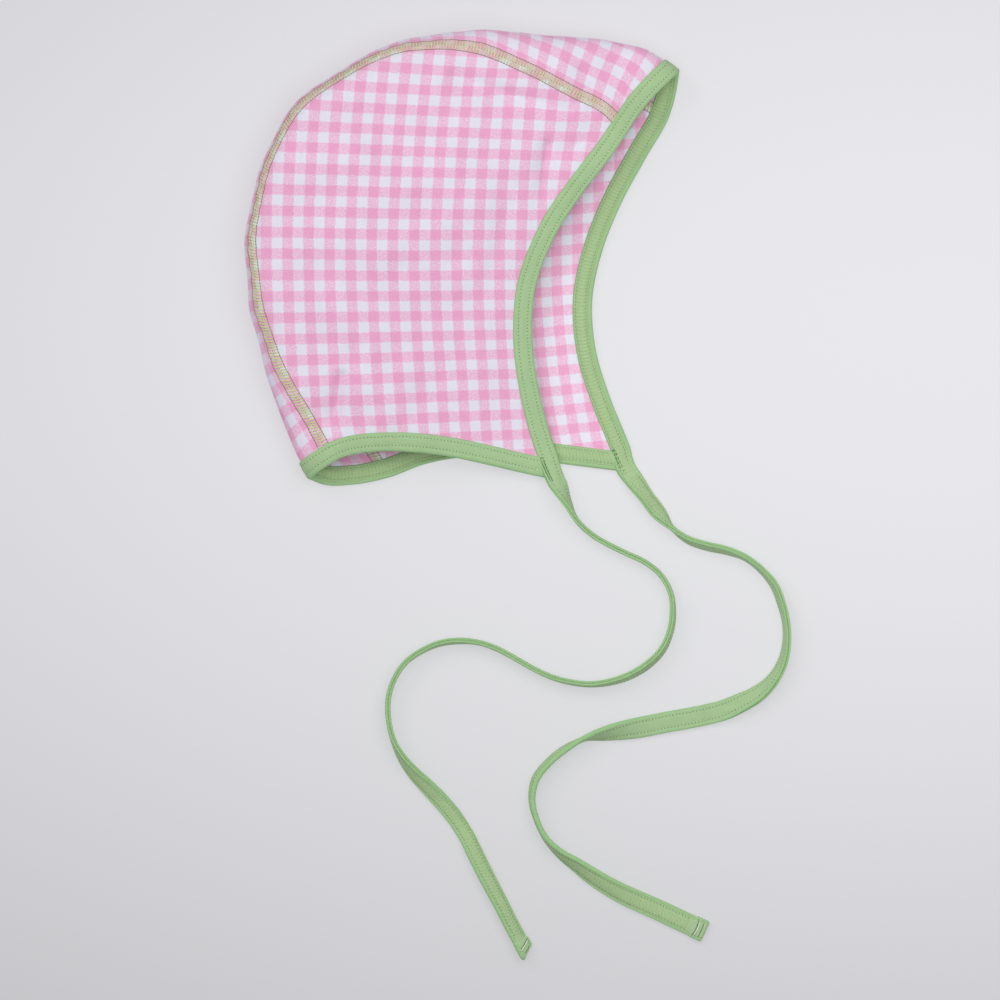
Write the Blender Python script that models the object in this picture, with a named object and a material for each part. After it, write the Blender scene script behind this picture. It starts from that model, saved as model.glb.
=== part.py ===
# A baby's swim bonnet of gingham jersey, lying on its left side with its ties spread out.
# Two side panels and a centre panel are joined by flat seams. One strip binds the face edge,
# another the neck edge, and the face strip runs on as the two ties.
# The wearer faces +X and the crown is towards +Y. The origin lies under the left side panel.

import math

import bmesh
import bpy
import numpy as np

for old in list(bpy.data.objects):
    bpy.data.objects.remove(old, do_unlink=True)


def table(names, *rows):
    """The columns of a short table, by name."""
    return dict(zip(names.split(), np.array(rows, float).T))


# Driving dimensions of the cap as it lies, in metres. The origin is a share of the length from
# its back and a share of the height from its lowest corner.
CAP_LENGTH = 0.1815
CAP_HEIGHT = 0.192
LOFT = 0.024
ORIGIN_X = 0.455
ORIGIN_Y = 0.475

# Cloth, bindings and seams
CLOTH = 0.001
BINDING_SKIN = 0.001
BINDING_WIDTH = 0.0082
BINDING_CHAMFER = 0.0006
SEAM_WIDTH = 0.0052
CLEARANCE = 0.0003

# Ties
TIE_WIDTH = 0.0088
TIE_THICKNESS = 0.0024
TIE_CHAMFER = 0.0005
TIE_STEP = 0.0062
TIE_DROP = 0.030
RIGHT_END_LENGTH = 0.0040
LEFT_END_LENGTH = 0.0056
TIE_END_THICKNESS = 0.0034
TIE_END_OVERHANG = 0.0004

# Grid of the cloth: rows run from the neck to the face, columns from side to side. The rows
# crowd towards both edges, and the columns are spaced by their length and their turn.
ROWS = 38
RIGHT_COLUMNS = 14
CENTRE_COLUMNS = 17
LEFT_COLUMNS = 10
SEAM_COLUMNS = 3
ROW_CROWDING = 0.35
FINE_STEPS = 200
EDGE_STEPS = 120
TARGET_LENGTH = 0.010
TARGET_TURN = math.radians(13)

# How the cloth falls. The rows stop CORNER_SHARE of the way from a corner to the fold, and the
# upper side rises between two such shares. The cloth lies level for EDGE_LEVEL times the
# binding's reach inside an opening, then settles over EDGE_FADE. FOLD_POWER rounds the fold.
CORNER_SHARE = 0.05
RISE_START = 0.06
RISE_END = 0.70
EDGE_FADE = 0.016
EDGE_LEVEL = 1.15
FOLD_POWER = 3

# The fold at the back and crown, from the neck to the forehead. x and y are shares of the
# cap's length and height, loft is a share of LOFT. right_seam and left_seam are how far
# inside the fold each seam lies, as shares of the cap's length.
CROWN_FOLD = table(
    "along  x      y      loft  right_seam left_seam",
    (0.00, 0.142, 0.025, 0.66, 0.060, 0.182),
    (0.07, 0.087, 0.136, 0.75, 0.062, 0.183),
    (0.15, 0.041, 0.269, 0.86, 0.039, 0.185),
    (0.24, 0.005, 0.422, 0.94, 0.030, 0.185),
    (0.33, 0.002, 0.579, 1.00, 0.026, 0.185),
    (0.42, 0.044, 0.731, 1.00, 0.021, 0.185),
    (0.50, 0.124, 0.847, 1.00, 0.020, 0.185),
    (0.58, 0.244, 0.929, 1.00, 0.022, 0.185),
    (0.66, 0.381, 0.980, 0.98, 0.026, 0.183),
    (0.74, 0.528, 0.995, 0.92, 0.050, 0.175),
    (0.82, 0.676, 0.989, 0.84, 0.098, 0.155),
    (0.90, 0.823, 0.975, 0.73, 0.144, 0.130),
    (0.96, 0.931, 0.950, 0.62, 0.162, 0.112),
    (1.00, 0.991, 0.910, 0.56, 0.168, 0.105),
)

# The cut edge of the face opening, from each lower corner up to the fold, as the same shares
FACE_EDGE = table(
    "along right_x right_y left_x left_y",
    (0.00, 0.730, 0.019, 0.898, 0.037),
    (0.08, 0.699, 0.097, 0.869, 0.107),
    (0.18, 0.671, 0.193, 0.832, 0.193),
    (0.30, 0.652, 0.312, 0.798, 0.300),
    (0.42, 0.658, 0.431, 0.790, 0.411),
    (0.54, 0.700, 0.544, 0.814, 0.520),
    (0.66, 0.767, 0.645, 0.858, 0.624),
    (0.78, 0.845, 0.740, 0.914, 0.722),
    (0.90, 0.917, 0.841, 0.971, 0.820),
    (0.95, 0.953, 0.878, 0.984, 0.866),
    (1.00, 0.991, 0.910, 0.991, 0.910),
)

# The cut edge of the neck opening, from each front corner back to the fold
NECK_EDGE = table(
    "along right_x right_y left_x left_y",
    (0.00, 0.730, 0.019, 0.898, 0.037),
    (0.12, 0.649, 0.035, 0.806, 0.048),
    (0.26, 0.567, 0.053, 0.699, 0.061),
    (0.40, 0.485, 0.070, 0.592, 0.072),
    (0.52, 0.414, 0.080, 0.500, 0.072),
    (0.64, 0.342, 0.085, 0.409, 0.057),
    (0.76, 0.270, 0.082, 0.322, 0.027),
    (0.87, 0.207, 0.067, 0.239, 0.012),
    (0.95, 0.166, 0.043, 0.178, 0.012),
    (1.00, 0.142, 0.025, 0.142, 0.025),
)

# Creases in the upper side, each a dent along a short line
CREASES = table(
    "from_x from_y to_x  to_y  depth breadth",
    (0.200, 0.150, 0.245, 0.290, 0.075, 0.028),
    (0.690, 0.735, 0.680, 0.610, 0.060, 0.030),
    (0.780, 0.905, 0.815, 0.850, 0.050, 0.022),
    (0.330, 0.300, 0.250, 0.420, 0.040, 0.035),
)

# The route of each tie past the cap's corner, in metres from that corner, as it was laid.
# roll turns the strip about its length, in degrees, and width narrows it where it is drawn.
RIGHT_TIE = table(
    "x       y       roll  width",
    (0.0018, -0.0100, 72, 1.00),
    (0.0058, -0.0175, 90, 1.00),
    (0.0118, -0.0233, 90, 1.00),
    (0.0192, -0.0278, 90, 1.00),
    (0.0268, -0.0315, 90, 1.00),
    (0.0344, -0.0351, 90, 1.00),
    (0.0410, -0.0405, 90, 1.00),
    (0.0452, -0.0481, 88, 1.00),
    (0.0461, -0.0566, 84, 1.00),
    (0.0448, -0.0650, 82, 1.00),
    (0.0412, -0.0726, 79, 1.00),
    (0.0352, -0.0785, 77, 1.00),
    (0.0281, -0.0827, 78, 1.00),
    (0.0203, -0.0853, 81, 1.00),
    (0.0120, -0.0864, 85, 1.00),
    (0.0036, -0.0856, 86, 1.00),
    (-0.0047, -0.0834, 88, 1.00),
    (-0.0124, -0.0799, 90, 1.00),
    (-0.0197, -0.0758, 90, 1.00),
    (-0.0271, -0.0718, 88, 1.00),
    (-0.0350, -0.0690, 88, 1.00),
    (-0.0434, -0.0682, 84, 1.00),
    (-0.0516, -0.0692, 84, 1.00),
    (-0.0592, -0.0723, 86, 1.00),
    (-0.0661, -0.0772, 88, 1.00),
    (-0.0709, -0.0843, 90, 1.00),
    (-0.0734, -0.0925, 90, 1.00),
    (-0.0733, -0.1011, 90, 1.00),
    (-0.0714, -0.1095, 92, 1.00),
    (-0.0677, -0.1172, 104, 1.00),
    (-0.0625, -0.1240, 120, 0.96),
    (-0.0566, -0.1300, 138, 0.88),
    (-0.0508, -0.1361, 156, 0.82),
    (-0.0454, -0.1426, 172, 0.78),
    (-0.0408, -0.1497, 186, 0.78),
    (-0.0371, -0.1573, 198, 0.80),
    (-0.0334, -0.1649, 206, 0.83),
    (-0.0295, -0.1724, 212, 0.84),
    (-0.0256, -0.1798, 216, 0.83),
    (-0.0219, -0.1872, 216, 0.82),
    (-0.0182, -0.1940, 216, 0.82),
)

LEFT_TIE = table(
    "x       y       roll  width",
    (0.0040, -0.0105, 50, 1.00),
    (0.0095, -0.0177, 52, 1.00),
    (0.0151, -0.0242, 88, 1.00),
    (0.0218, -0.0292, 102, 1.00),
    (0.0297, -0.0319, 106, 1.00),
    (0.0379, -0.0337, 104, 1.00),
    (0.0459, -0.0367, 98, 1.00),
    (0.0527, -0.0419, 99, 1.00),
    (0.0581, -0.0485, 104, 1.00),
    (0.0612, -0.0564, 104, 1.00),
    (0.0631, -0.0647, 102, 1.00),
    (0.0632, -0.0732, 105, 1.00),
    (0.0612, -0.0814, 112, 1.00),
    (0.0569, -0.0885, 122, 1.00),
    (0.0509, -0.0939, 138, 1.00),
    (0.0438, -0.0977, 154, 1.00),
    (0.0363, -0.1009, 170, 1.00),
    (0.0284, -0.1029, 180, 1.00),
    (0.0201, -0.1045, 180, 1.00),
    (0.0118, -0.1060, 180, 1.00),
    (0.0036, -0.1076, 188, 1.00),
    (-0.0048, -0.1090, 210, 1.00),
    (-0.0131, -0.1105, 236, 1.00),
    (-0.0216, -0.1127, 266, 1.00),
    (-0.0294, -0.1168, 280, 1.00),
    (-0.0365, -0.1225, 282, 1.00),
    (-0.0422, -0.1298, 282, 1.00),
    (-0.0437, -0.1386, 277, 1.00),
    (-0.0416, -0.1471, 274, 1.00),
    (-0.0378, -0.1547, 276, 1.00),
    (-0.0320, -0.1608, 288, 1.00),
    (-0.0251, -0.1656, 304, 1.00),
    (-0.0183, -0.1704, 318, 1.00),
    (-0.0112, -0.1748, 328, 1.00),
    (-0.0039, -0.1787, 340, 1.00),
    (0.0038, -0.1822, 352, 1.00),
    (0.0114, -0.1856, 360, 1.00),
    (0.0190, -0.1892, 360, 1.00),
    (0.0240, -0.1915, 360, 1.00),
)
RIGHT_TIE_SLANT = math.radians(33)
LEFT_TIE_SLANT = 0

# Colours of the gingham seen from afar, of the strips and of the seam thread
PINK = (0.78, 0.50, 0.65)
GREEN = (0.38, 0.53, 0.28)
THREAD = (0.45, 0.50, 0.25)
CLOTH_ROUGHNESS = 0.9
SHARP_ANGLE = math.radians(40)

# Worked out from the sizes above. The right corner rests on the neck binding below it.
BINDING_THICKNESS = CLOTH + 2 * (CLEARANCE + BINDING_SKIN)
RIM = BINDING_SKIN + CLEARANCE
BINDING_REACH = BINDING_WIDTH - RIM
CORNER_RISE = 1.5 * BINDING_THICKNESS + CLEARANCE


def smooth(points, values, where):
    """A smooth curve through the values, read at where."""
    slopes = np.gradient(values, points)
    left = np.clip(np.searchsorted(points, where, side="right") - 1, 0, len(points) - 2)
    span = points[left + 1] - points[left]
    u = (where - points[left]) / span
    start = (2 * u**3 - 3 * u**2 + 1) * values[left] + (u**3 - 2 * u**2 + u) * span * slopes[left]
    end = (3 * u**2 - 2 * u**3) * values[left + 1] + (u**3 - u**2) * span * slopes[left + 1]
    return start + end


def ease(u):
    """0 to 1 with a soft start and end."""
    u = np.clip(u, 0, 1)
    return u * u * (3 - 2 * u)


def unit(vectors):
    return vectors / np.linalg.norm(vectors, axis=-1, keepdims=True)


def place(x, y):
    """The plan position of two shares of the cap's length and height."""
    return np.stack([(x - ORIGIN_X) * CAP_LENGTH, (y - ORIGIN_Y) * CAP_HEIGHT], -1)


def edge(rows, side, reach):
    """A point on the face or neck edge of one side."""
    x = smooth(rows["along"], rows[side + "_x"], reach)
    y = smooth(rows["along"], rows[side + "_y"], reach)
    return place(x, y)


def fold_value(name, along):
    return float(smooth(CROWN_FOLD["along"], CROWN_FOLD[name], np.array([along]))[0])


def fold_place(along):
    return place(fold_value("x", along), fold_value("y", along))


def plan(along, side, reach):
    """One side's cloth from above: along runs from neck to face, reach from the corner to the fold."""
    corner = place(FACE_EDGE[side + "_x"][0], FACE_EDGE[side + "_y"][0])
    fold = fold_place(along)
    share = reach[:, None]
    straight = corner + share * (fold - corner)
    neck = edge(NECK_EDGE, side, reach) - corner - share * (fold_place(0) - corner)
    face = edge(FACE_EDGE, side, reach) - corner - share * (fold_place(1) - corner)
    radius = np.linalg.norm(fold - corner)
    return straight + (1 - along) * neck + along * face, radius * (1 - reach)


def near_opening(points, side):
    """1 along one side's neck and face edges, fading to 0 inside the cap."""
    reach = np.linspace(0, 1, EDGE_STEPS)
    edges = np.concatenate([edge(NECK_EDGE, side, reach), edge(FACE_EDGE, side, reach)])
    distance = np.linalg.norm(points[:, None] - edges[None], axis=2).min(1)
    return 1 - ease((distance - EDGE_LEVEL * BINDING_REACH) / EDGE_FADE)


def creases(points):
    """How far the creases press the upper side down."""
    down = np.zeros(len(points))
    for fx, fy, tx, ty, depth, breadth in zip(*CREASES.values()):
        start, end = place(fx, fy), place(tx, ty)
        along = np.clip((points - start) @ (end - start) / ((end - start) @ (end - start)), 0, 1)
        away = np.linalg.norm(points - start - along[:, None] * (end - start), axis=1)
        down += depth * LOFT * np.exp(-((away / (breadth * CAP_LENGTH)) ** 2))
    return down


def section(along):
    """The cloth's middle line from the right corner over the fold to the left one, and its seams."""
    step = np.linspace(1, 0, FINE_STEPS)
    reach = 1 - (1 - CORNER_SHARE) * step**2
    loft = fold_value("loft", along) * LOFT
    over, out = plan(along, "right", reach)
    under, back = plan(along, "left", reach)
    rest = CLOTH / 2 + (BINDING_THICKNESS - CLOTH) / 2 * near_opening(under, "left")
    middle = (loft + rest[-1]) / 2
    swell = [np.sqrt(1 - np.clip(1 - d / loft, 0, 1) ** FOLD_POWER) for d in (out, back)]
    top = CORNER_RISE + (loft - CORNER_RISE) * ease((reach - RISE_START) / (RISE_END - RISE_START))
    high = middle + (top - middle) * swell[0]
    high -= creases(over) * (1 - near_opening(over, "right")) * swell[0]
    low = middle - (middle - rest) * swell[1]
    upper = np.column_stack([over, high])
    lower = np.column_stack([under, low])[::-1]
    line = np.concatenate([upper, lower[1:]])
    length = np.concatenate([[0], np.cumsum(np.linalg.norm(np.diff(line, axis=0), axis=1))])
    right_seam = np.interp(-fold_value("right_seam", along) * CAP_LENGTH, -out, length[:FINE_STEPS])
    left_seam = np.interp(fold_value("left_seam", along) * CAP_LENGTH, back[::-1], length[FINE_STEPS - 1:])
    return line, length, right_seam, left_seam


def share_out(line, length, start, end, count):
    """count places from start to end, closer together where the line turns."""
    heading = unit(np.diff(line, axis=0))
    turn = np.arccos(np.clip((heading[1:] * heading[:-1]).sum(1), -1, 1))
    effort = np.diff(length) / TARGET_LENGTH
    effort[1:] += turn / TARGET_TURN
    effort = np.concatenate([[0], np.cumsum(effort)])
    ends = np.interp([start, end], length, effort)
    places = np.interp(np.linspace(*ends, count), effort, length)
    places[0], places[-1] = start, end
    return places


def cloth_grid():
    """Every row of the cloth's middle surface, and the columns that each piece takes."""
    u = np.linspace(0, 1, ROWS)
    rows = []
    for along in u - ROW_CROWDING * np.sin(2 * math.pi * u) / (2 * math.pi):
        line, length, right_seam, left_seam = section(along)
        half, out = SEAM_WIDTH / 2, SEAM_WIDTH / 2 + CLEARANCE
        places = [
            share_out(line, length, 0, right_seam - out, RIGHT_COLUMNS),
            np.linspace(right_seam - half, right_seam + half, SEAM_COLUMNS),
            share_out(line, length, right_seam + out, left_seam - out, CENTRE_COLUMNS),
            np.linspace(left_seam - half, left_seam + half, SEAM_COLUMNS),
            share_out(line, length, left_seam + out, length[-1], LEFT_COLUMNS),
        ]
        flat = np.concatenate(places)
        rows.append(np.column_stack([np.interp(flat, length, line[:, k]) for k in range(3)]))
    ends = np.cumsum([0] + [len(p) for p in places])
    names = ("side_panel_right", "crown_seam_right", "centre_panel", "crown_seam_left", "side_panel_left")
    columns = {name: slice(a, b) for name, a, b in zip(names, ends, ends[1:])}
    return np.array(rows), columns


def outward_of(grid):
    """The outward direction of the cloth at each point of the grid."""
    return unit(np.cross(np.gradient(grid, axis=1), np.gradient(grid, axis=0)))


def paint(name, colour):
    material = bpy.data.materials.new(name)
    material.use_nodes = True
    shader = material.node_tree.nodes["Principled BSDF"]
    shader.inputs["Base Color"].default_value = (*colour, 1)
    shader.inputs["Roughness"].default_value = CLOTH_ROUGHNESS
    shader.inputs["Metallic"].default_value = 0
    return material


def finish(name, shape, colour):
    """The named object that holds one modelled shape."""
    bmesh.ops.recalc_face_normals(shape, faces=shape.faces)
    bmesh.ops.triangulate(shape, faces=shape.faces, quad_method="SHORT_EDGE")
    mesh = bpy.data.meshes.new(name)
    shape.to_mesh(mesh)
    shape.free()
    mesh.shade_smooth()
    mesh.set_sharp_from_angle(angle=SHARP_ANGLE)
    mesh.materials.append(paint(name, colour))
    piece = bpy.data.objects.new(name, mesh)
    bpy.context.collection.objects.link(piece)
    return piece


def sheet(name, grid, colour):
    """A wall of cloth about its middle surface."""
    shape = bmesh.new()
    rows = [[shape.verts.new(point) for point in row] for row in grid]
    for here, there in zip(rows, rows[1:]):
        for k in range(1, len(here)):
            shape.faces.new((here[k - 1], here[k], there[k], there[k - 1]))
    wall = finish(name, shape, colour).modifiers.new("cloth", "SOLIDIFY")
    wall.thickness = CLOTH
    wall.offset = 0


def bar(name, rings, colour):
    """A strip of folded cloth, drawn through its sections in turn and closed at both ends."""
    shape = bmesh.new()
    loops = [[shape.verts.new(point) for point in ring] for ring in rings]
    for here, there in zip(loops, loops[1:]):
        for k in range(len(here)):
            shape.faces.new((here[k - 1], here[k], there[k], there[k - 1]))
    shape.faces.new(loops[0])
    shape.faces.new(loops[-1])
    finish(name, shape, colour)


def binding_profile():
    """The folded strip's section: distance in from the cut edge, and height off the cloth."""
    skin = BINDING_THICKNESS / 2
    slot = CLOTH / 2 + CLEARANCE
    upper = [
        (-CLEARANCE, slot),
        (BINDING_REACH / 2, slot),
        (BINDING_REACH, slot),
        (BINDING_REACH, skin),
        (BINDING_REACH / 2, skin),
        (BINDING_CHAMFER - RIM, skin),
        (-RIM, skin - BINDING_CHAMFER),
    ]
    return np.array(upper + [(inward, -height) for inward, height in reversed(upper)])


def way_in(rows, heading, start):
    """The line that the cloth takes straight in from its edge, square to the edge's heading."""
    path = [start]
    for inner in rows:
        row = np.vstack([2 * inner[0] - inner[1], inner, 2 * inner[-1] - inner[-2]])
        side = (row - start) @ heading
        crossing = np.flatnonzero((side[1:] > 0) != (side[:-1] > 0))
        share = side[crossing] / (side[crossing] - side[crossing + 1])
        found = row[crossing] + share[:, None] * (row[crossing + 1] - row[crossing])
        if not len(found):
            break
        path.append(min(found, key=lambda point: np.linalg.norm(point - path[-1])))
        if np.linalg.norm(path[-1] - start) > 2 * BINDING_REACH:
            break
    return np.array([*path, path[-1] + 2 * BINDING_REACH * unit(path[-1] - path[-2])])


def edge_frames(rows):
    """At each column of the first row: point, heading, the cloth's way in and its outward side."""
    heading = unit(np.gradient(rows[0], axis=0))
    outward = outward_of(rows)[0]
    return [
        (point, heading[k], way_in(rows[1:], heading[k], point), outward[k])
        for k, point in enumerate(rows[0])
    ]


def along_path(path, distance):
    length = np.concatenate([[0], np.cumsum(np.linalg.norm(np.diff(path, axis=0), axis=1))])
    return np.array([np.interp(distance, length, path[:, k]) for k in range(3)])


def ring(frame, profile):
    """The strip's section at one frame. Its two skins follow the cloth between them."""
    point, heading, path, outward = frame
    step = BINDING_REACH / 4
    points = []
    for inward, height in profile:
        inside = max(inward, 0)
        way = unit(along_path(path, inside + step) - along_path(path, max(inside - step, 0)))
        up = np.cross(way, heading)
        up *= np.sign(up @ outward)
        points.append(along_path(path, inside) + min(inward, 0) * way + height * up)
    points = np.array(points)
    points[:, 2] = np.maximum(points[:, 2], 0)
    return points


def shifted(frame, move):
    point, heading, path, outward = frame
    return point + move, heading, path + move, outward


def inward_of(frame):
    """The level way in at one frame."""
    return unit((frame[2][1] - frame[0]) * (1, 1, 0))


def face_binding(frames, profile):
    """Rings of the strip round the face edge, run on at each end until it covers the corner."""
    ends = []
    for side, frame, way in (("right", frames[0], -1), ("left", frames[-1], 1)):
        corner = place(FACE_EDGE[side + "_x"][0], FACE_EDGE[side + "_y"][0])
        beyond = np.linalg.norm(corner - frame[0][:2]) + RIM
        ends.append(shifted(frame, way * beyond * frame[1]))
    return [ring(frame, profile) for frame in (ends[0], *frames, ends[1])], ends


def neck_binding(frames, profile, stops):
    """Rings of the strip round the neck edge, cut off beside the face binding at each corner."""
    rings = [ring(frame, profile) for frame in frames]
    limit = BINDING_REACH + CLEARANCE
    cuts, kept = [], []
    for stop, order in zip(stops, (range(len(rings)), reversed(range(len(rings))))):
        for k in order:
            depth = (rings[k] - stop[0]) @ inward_of(stop)
            if depth.min() > limit + CLEARANCE:
                break
        heading = frames[k][1]
        slide = (limit - depth) / (heading @ inward_of(stop))
        cuts.append(rings[k] + slide[:, None] * heading)
        kept.append(k)
    return [cuts[0], *rings[kept[0] : kept[1] + 1], cuts[1]]


def strip_section(width, thickness):
    """A flat strip's section, across and through, with its long edges eased."""
    across, through = width / 2, thickness / 2
    quarter = [(across, through - TIE_CHAMFER), (across - TIE_CHAMFER, through)]
    half = quarter + [(-a, t) for a, t in reversed(quarter)]
    return np.array(half + [(-a, -t) for a, t in half])


def tie_rings(route, start, outward):
    """Sections of a tie. It leaves the face binding's corner, drops to the floor and rolls as it goes."""
    point, heading, inward = start[0], outward * start[1], inward_of(start)
    corner = point[:2] - heading[:2] * RIM
    begin = point + heading * CLEARANCE + inward * (BINDING_WIDTH / 2 - RIM)
    points = np.vstack([begin[:2], corner + np.column_stack([route["x"], route["y"]])])
    rolls = np.radians(np.concatenate([[0], route["roll"]]))
    widths = np.concatenate([[1], route["width"]]) * TIE_WIDTH
    knots = np.concatenate([[0], np.cumsum(np.linalg.norm(np.diff(points, axis=0), axis=1))])
    where = np.linspace(0, knots[-1], round(knots[-1] / TIE_STEP) + 1)
    line = np.column_stack([smooth(knots, points[:, k], where) for k in range(2)])
    roll, width = smooth(knots, rolls, where), smooth(knots, widths, where)
    height = np.abs(np.sin(roll)) * width / 2 + np.abs(np.cos(roll)) * TIE_THICKNESS / 2
    height += (begin[2] - height[0]) * (1 - ease(where / TIE_DROP))
    line = np.column_stack([line, height])
    ahead = unit(np.gradient(line, axis=0))
    ahead[0] = heading
    left = unit(np.cross([0, 0, 1], ahead))
    up = np.cross(ahead, left)
    across = left * np.cos(roll)[:, None] - up * np.sin(roll)[:, None]
    through = np.cross(ahead, across)
    rings = []
    for k, centre in enumerate(line):
        profile = strip_section(width[k], TIE_THICKNESS)
        rings.append(centre + profile[:, :1] * across[k] + profile[:, 1:] * through[k])
    return rings, (line[-1], ahead[-1], across[-1], through[-1], width[-1])


def tie_end_rings(end, slant, length):
    """The turned-over end, cut square or on a slant."""
    point, ahead, across, through, width = end
    profile = strip_section(width + 2 * TIE_END_OVERHANG, TIE_END_THICKNESS)
    drop = TIE_END_THICKNESS / 2 - TIE_THICKNESS / 2
    flat = point + through * math.copysign(drop, through[2])
    near = flat + ahead * CLEARANCE + profile[:, :1] * across + profile[:, 1:] * through
    lean = profile[:, :1] * math.tan(slant)
    far = near + ahead * (length + lean - lean.min())
    return [near, far]


grid, columns = cloth_grid()
for name, span in columns.items():
    sheet(name, grid[:, span], THREAD if "seam" in name else PINK)

profile = binding_profile()
face_rings, corners = face_binding(edge_frames(grid[::-1]), profile)
bar("face_binding", face_rings, GREEN)
bar("neck_binding", neck_binding(edge_frames(grid), profile, corners), GREEN)

for side, route, corner, outward, slant, length in (
    ("right", RIGHT_TIE, corners[0], -1, RIGHT_TIE_SLANT, RIGHT_END_LENGTH),
    ("left", LEFT_TIE, corners[1], 1, LEFT_TIE_SLANT, LEFT_END_LENGTH),
):
    rings, end = tie_rings(route, corner, outward)
    bar("tie_" + side, rings, GREEN)
    bar("tie_end_" + side, tie_end_rings(end, slant, length), GREEN)
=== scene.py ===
# Baby's swim bonnet of gingham jersey, lying on its left side with its ties laid out.
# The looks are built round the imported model, in metres, in its own frame.
import math

import bmesh
import bpy
import numpy as np
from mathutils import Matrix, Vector


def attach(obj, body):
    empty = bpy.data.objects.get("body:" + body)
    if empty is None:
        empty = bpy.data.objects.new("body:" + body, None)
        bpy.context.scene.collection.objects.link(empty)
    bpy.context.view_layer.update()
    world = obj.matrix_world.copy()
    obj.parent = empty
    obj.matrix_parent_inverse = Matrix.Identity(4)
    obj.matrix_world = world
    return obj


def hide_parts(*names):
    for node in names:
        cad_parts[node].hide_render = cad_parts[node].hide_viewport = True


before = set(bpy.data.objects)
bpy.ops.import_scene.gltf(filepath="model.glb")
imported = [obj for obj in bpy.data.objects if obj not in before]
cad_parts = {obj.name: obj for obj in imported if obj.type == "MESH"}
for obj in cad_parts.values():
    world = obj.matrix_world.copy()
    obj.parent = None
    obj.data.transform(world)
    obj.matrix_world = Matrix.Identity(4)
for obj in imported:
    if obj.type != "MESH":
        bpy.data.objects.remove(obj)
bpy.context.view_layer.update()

for item in bpy.context.selected_objects:
    item.select_set(False)


def table(names, *rows):
    return dict(zip(names.split(), np.array(rows, float).T))


# Camera, straight above
camera = {"centre": (0.0233, -0.0966), "height": 1.2, "span": 0.42}

bpy.ops.object.camera_add(location=(*camera["centre"], camera["height"]), rotation=(0, 0, 0))
cameraObject = bpy.context.object
cameraObject.name = "camera_above"
cameraObject.data.type = "ORTHO"
cameraObject.data.ortho_scale = camera["span"]
bpy.context.scene.camera = cameraObject
print("camera set")

# Sizes and falls of the cloth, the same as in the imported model
cap = {
    "length": 0.1815,
    "height": 0.192,
    "loft": 0.024,
    "originX": 0.455,
    "originY": 0.475,
    "cornerShare": 0.05,  # where the rows stop, as a share of the way to the fold
    "riseStart": 0.06,
    "riseEnd": 0.70,
    "edgeFade": 0.016,
    "edgeLevel": 1.15,
    "foldPower": 3,
}
cloth = {
    "thickness": 0.0009,
    "rows": 240,
    "sideColumns": 74,
    "centreColumns": 52,
    "seamStep": 0.00065,  # columns on each side of a seam's middle
    "seamSteps": 8,
    "rowCrowding": 0.35,
    "fineSteps": 320,
    "edgeSteps": 120,
    "edgeRun": 0.012,  # how far the rows are drawn on past the cut edges
    "evenRows": 11,
    "smoothAngle": math.radians(50),
    "targetLength": 0.010,
    "targetTurn": math.radians(13),
}
binding = {
    "width": 0.0082,
    "thickness": 0.0032,
    "rim": 0.0013,  # how far the fold stands past the cloth's cut edge
    "stations": 0.000364,
    "placesAcross": 9,
    "smoothAngle": math.radians(60),
    "cutWidth": 0.0175,
    "cornerGap": 0.0003,
    "endThin": 0.80,  # how thin the neck strip gets where it runs in under the face strip
    "endRun": 0.0035,
    "blend": 0.012,  # length over which the strip turns into a tie
    "tuck": 0.0012,  # how far the neck strip runs in under the face strip
}
tie = {
    "width": 0.0088,
    "thickness": 0.0023,
    "drop": 0.030,
    "gap": 0.00002,
    "settle": 0.008,  # length over which a tie turns from the strip's heading to its own
    "endStart": 0.0001,
    "rightEndLength": 0.0040,
    "leftEndLength": 0.0056,
    "endThickness": 0.0028,
    "endOverhang": 0.0003,
    "rightSlant": math.radians(27),
    "leftSlant": 0,
    "rightStartRoll": 34,  # degrees that each strip has already turned where its tie begins
    "leftStartRoll": 22,
}
binding["reach"] = binding["width"] - binding["rim"]
cornerRise = 1.5 * binding["thickness"] + binding["cornerGap"]
floorGap = 0.00002  # nothing of the strips and threads lies lower than this

crownFold = table(
    "along  x      y      loft  rightSeam leftSeam",
    (0.00, 0.142, 0.025, 0.66, 0.060, 0.182),
    (0.07, 0.087, 0.136, 0.75, 0.062, 0.183),
    (0.15, 0.041, 0.269, 0.86, 0.039, 0.185),
    (0.24, 0.005, 0.422, 0.94, 0.030, 0.185),
    (0.33, 0.002, 0.579, 1.00, 0.026, 0.185),
    (0.42, 0.044, 0.731, 1.00, 0.021, 0.185),
    (0.50, 0.124, 0.847, 1.00, 0.020, 0.185),
    (0.58, 0.244, 0.929, 1.00, 0.022, 0.185),
    (0.66, 0.381, 0.980, 0.98, 0.026, 0.183),
    (0.74, 0.528, 0.995, 0.92, 0.050, 0.175),
    (0.82, 0.676, 0.989, 0.84, 0.098, 0.155),
    (0.90, 0.823, 0.975, 0.73, 0.144, 0.130),
    (0.96, 0.931, 0.950, 0.62, 0.162, 0.112),
    (1.00, 0.991, 0.910, 0.56, 0.168, 0.105),
)
faceEdge = table(
    "along rightX rightY leftX leftY",
    (0.00, 0.730, 0.019, 0.898, 0.037),
    (0.08, 0.699, 0.097, 0.869, 0.107),
    (0.18, 0.671, 0.193, 0.832, 0.193),
    (0.30, 0.652, 0.312, 0.798, 0.300),
    (0.42, 0.658, 0.431, 0.790, 0.411),
    (0.54, 0.700, 0.544, 0.814, 0.520),
    (0.66, 0.767, 0.645, 0.858, 0.624),
    (0.78, 0.845, 0.740, 0.914, 0.722),
    (0.90, 0.917, 0.841, 0.971, 0.820),
    (0.95, 0.953, 0.878, 0.984, 0.866),
    (1.00, 0.991, 0.910, 0.991, 0.910),
)
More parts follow.
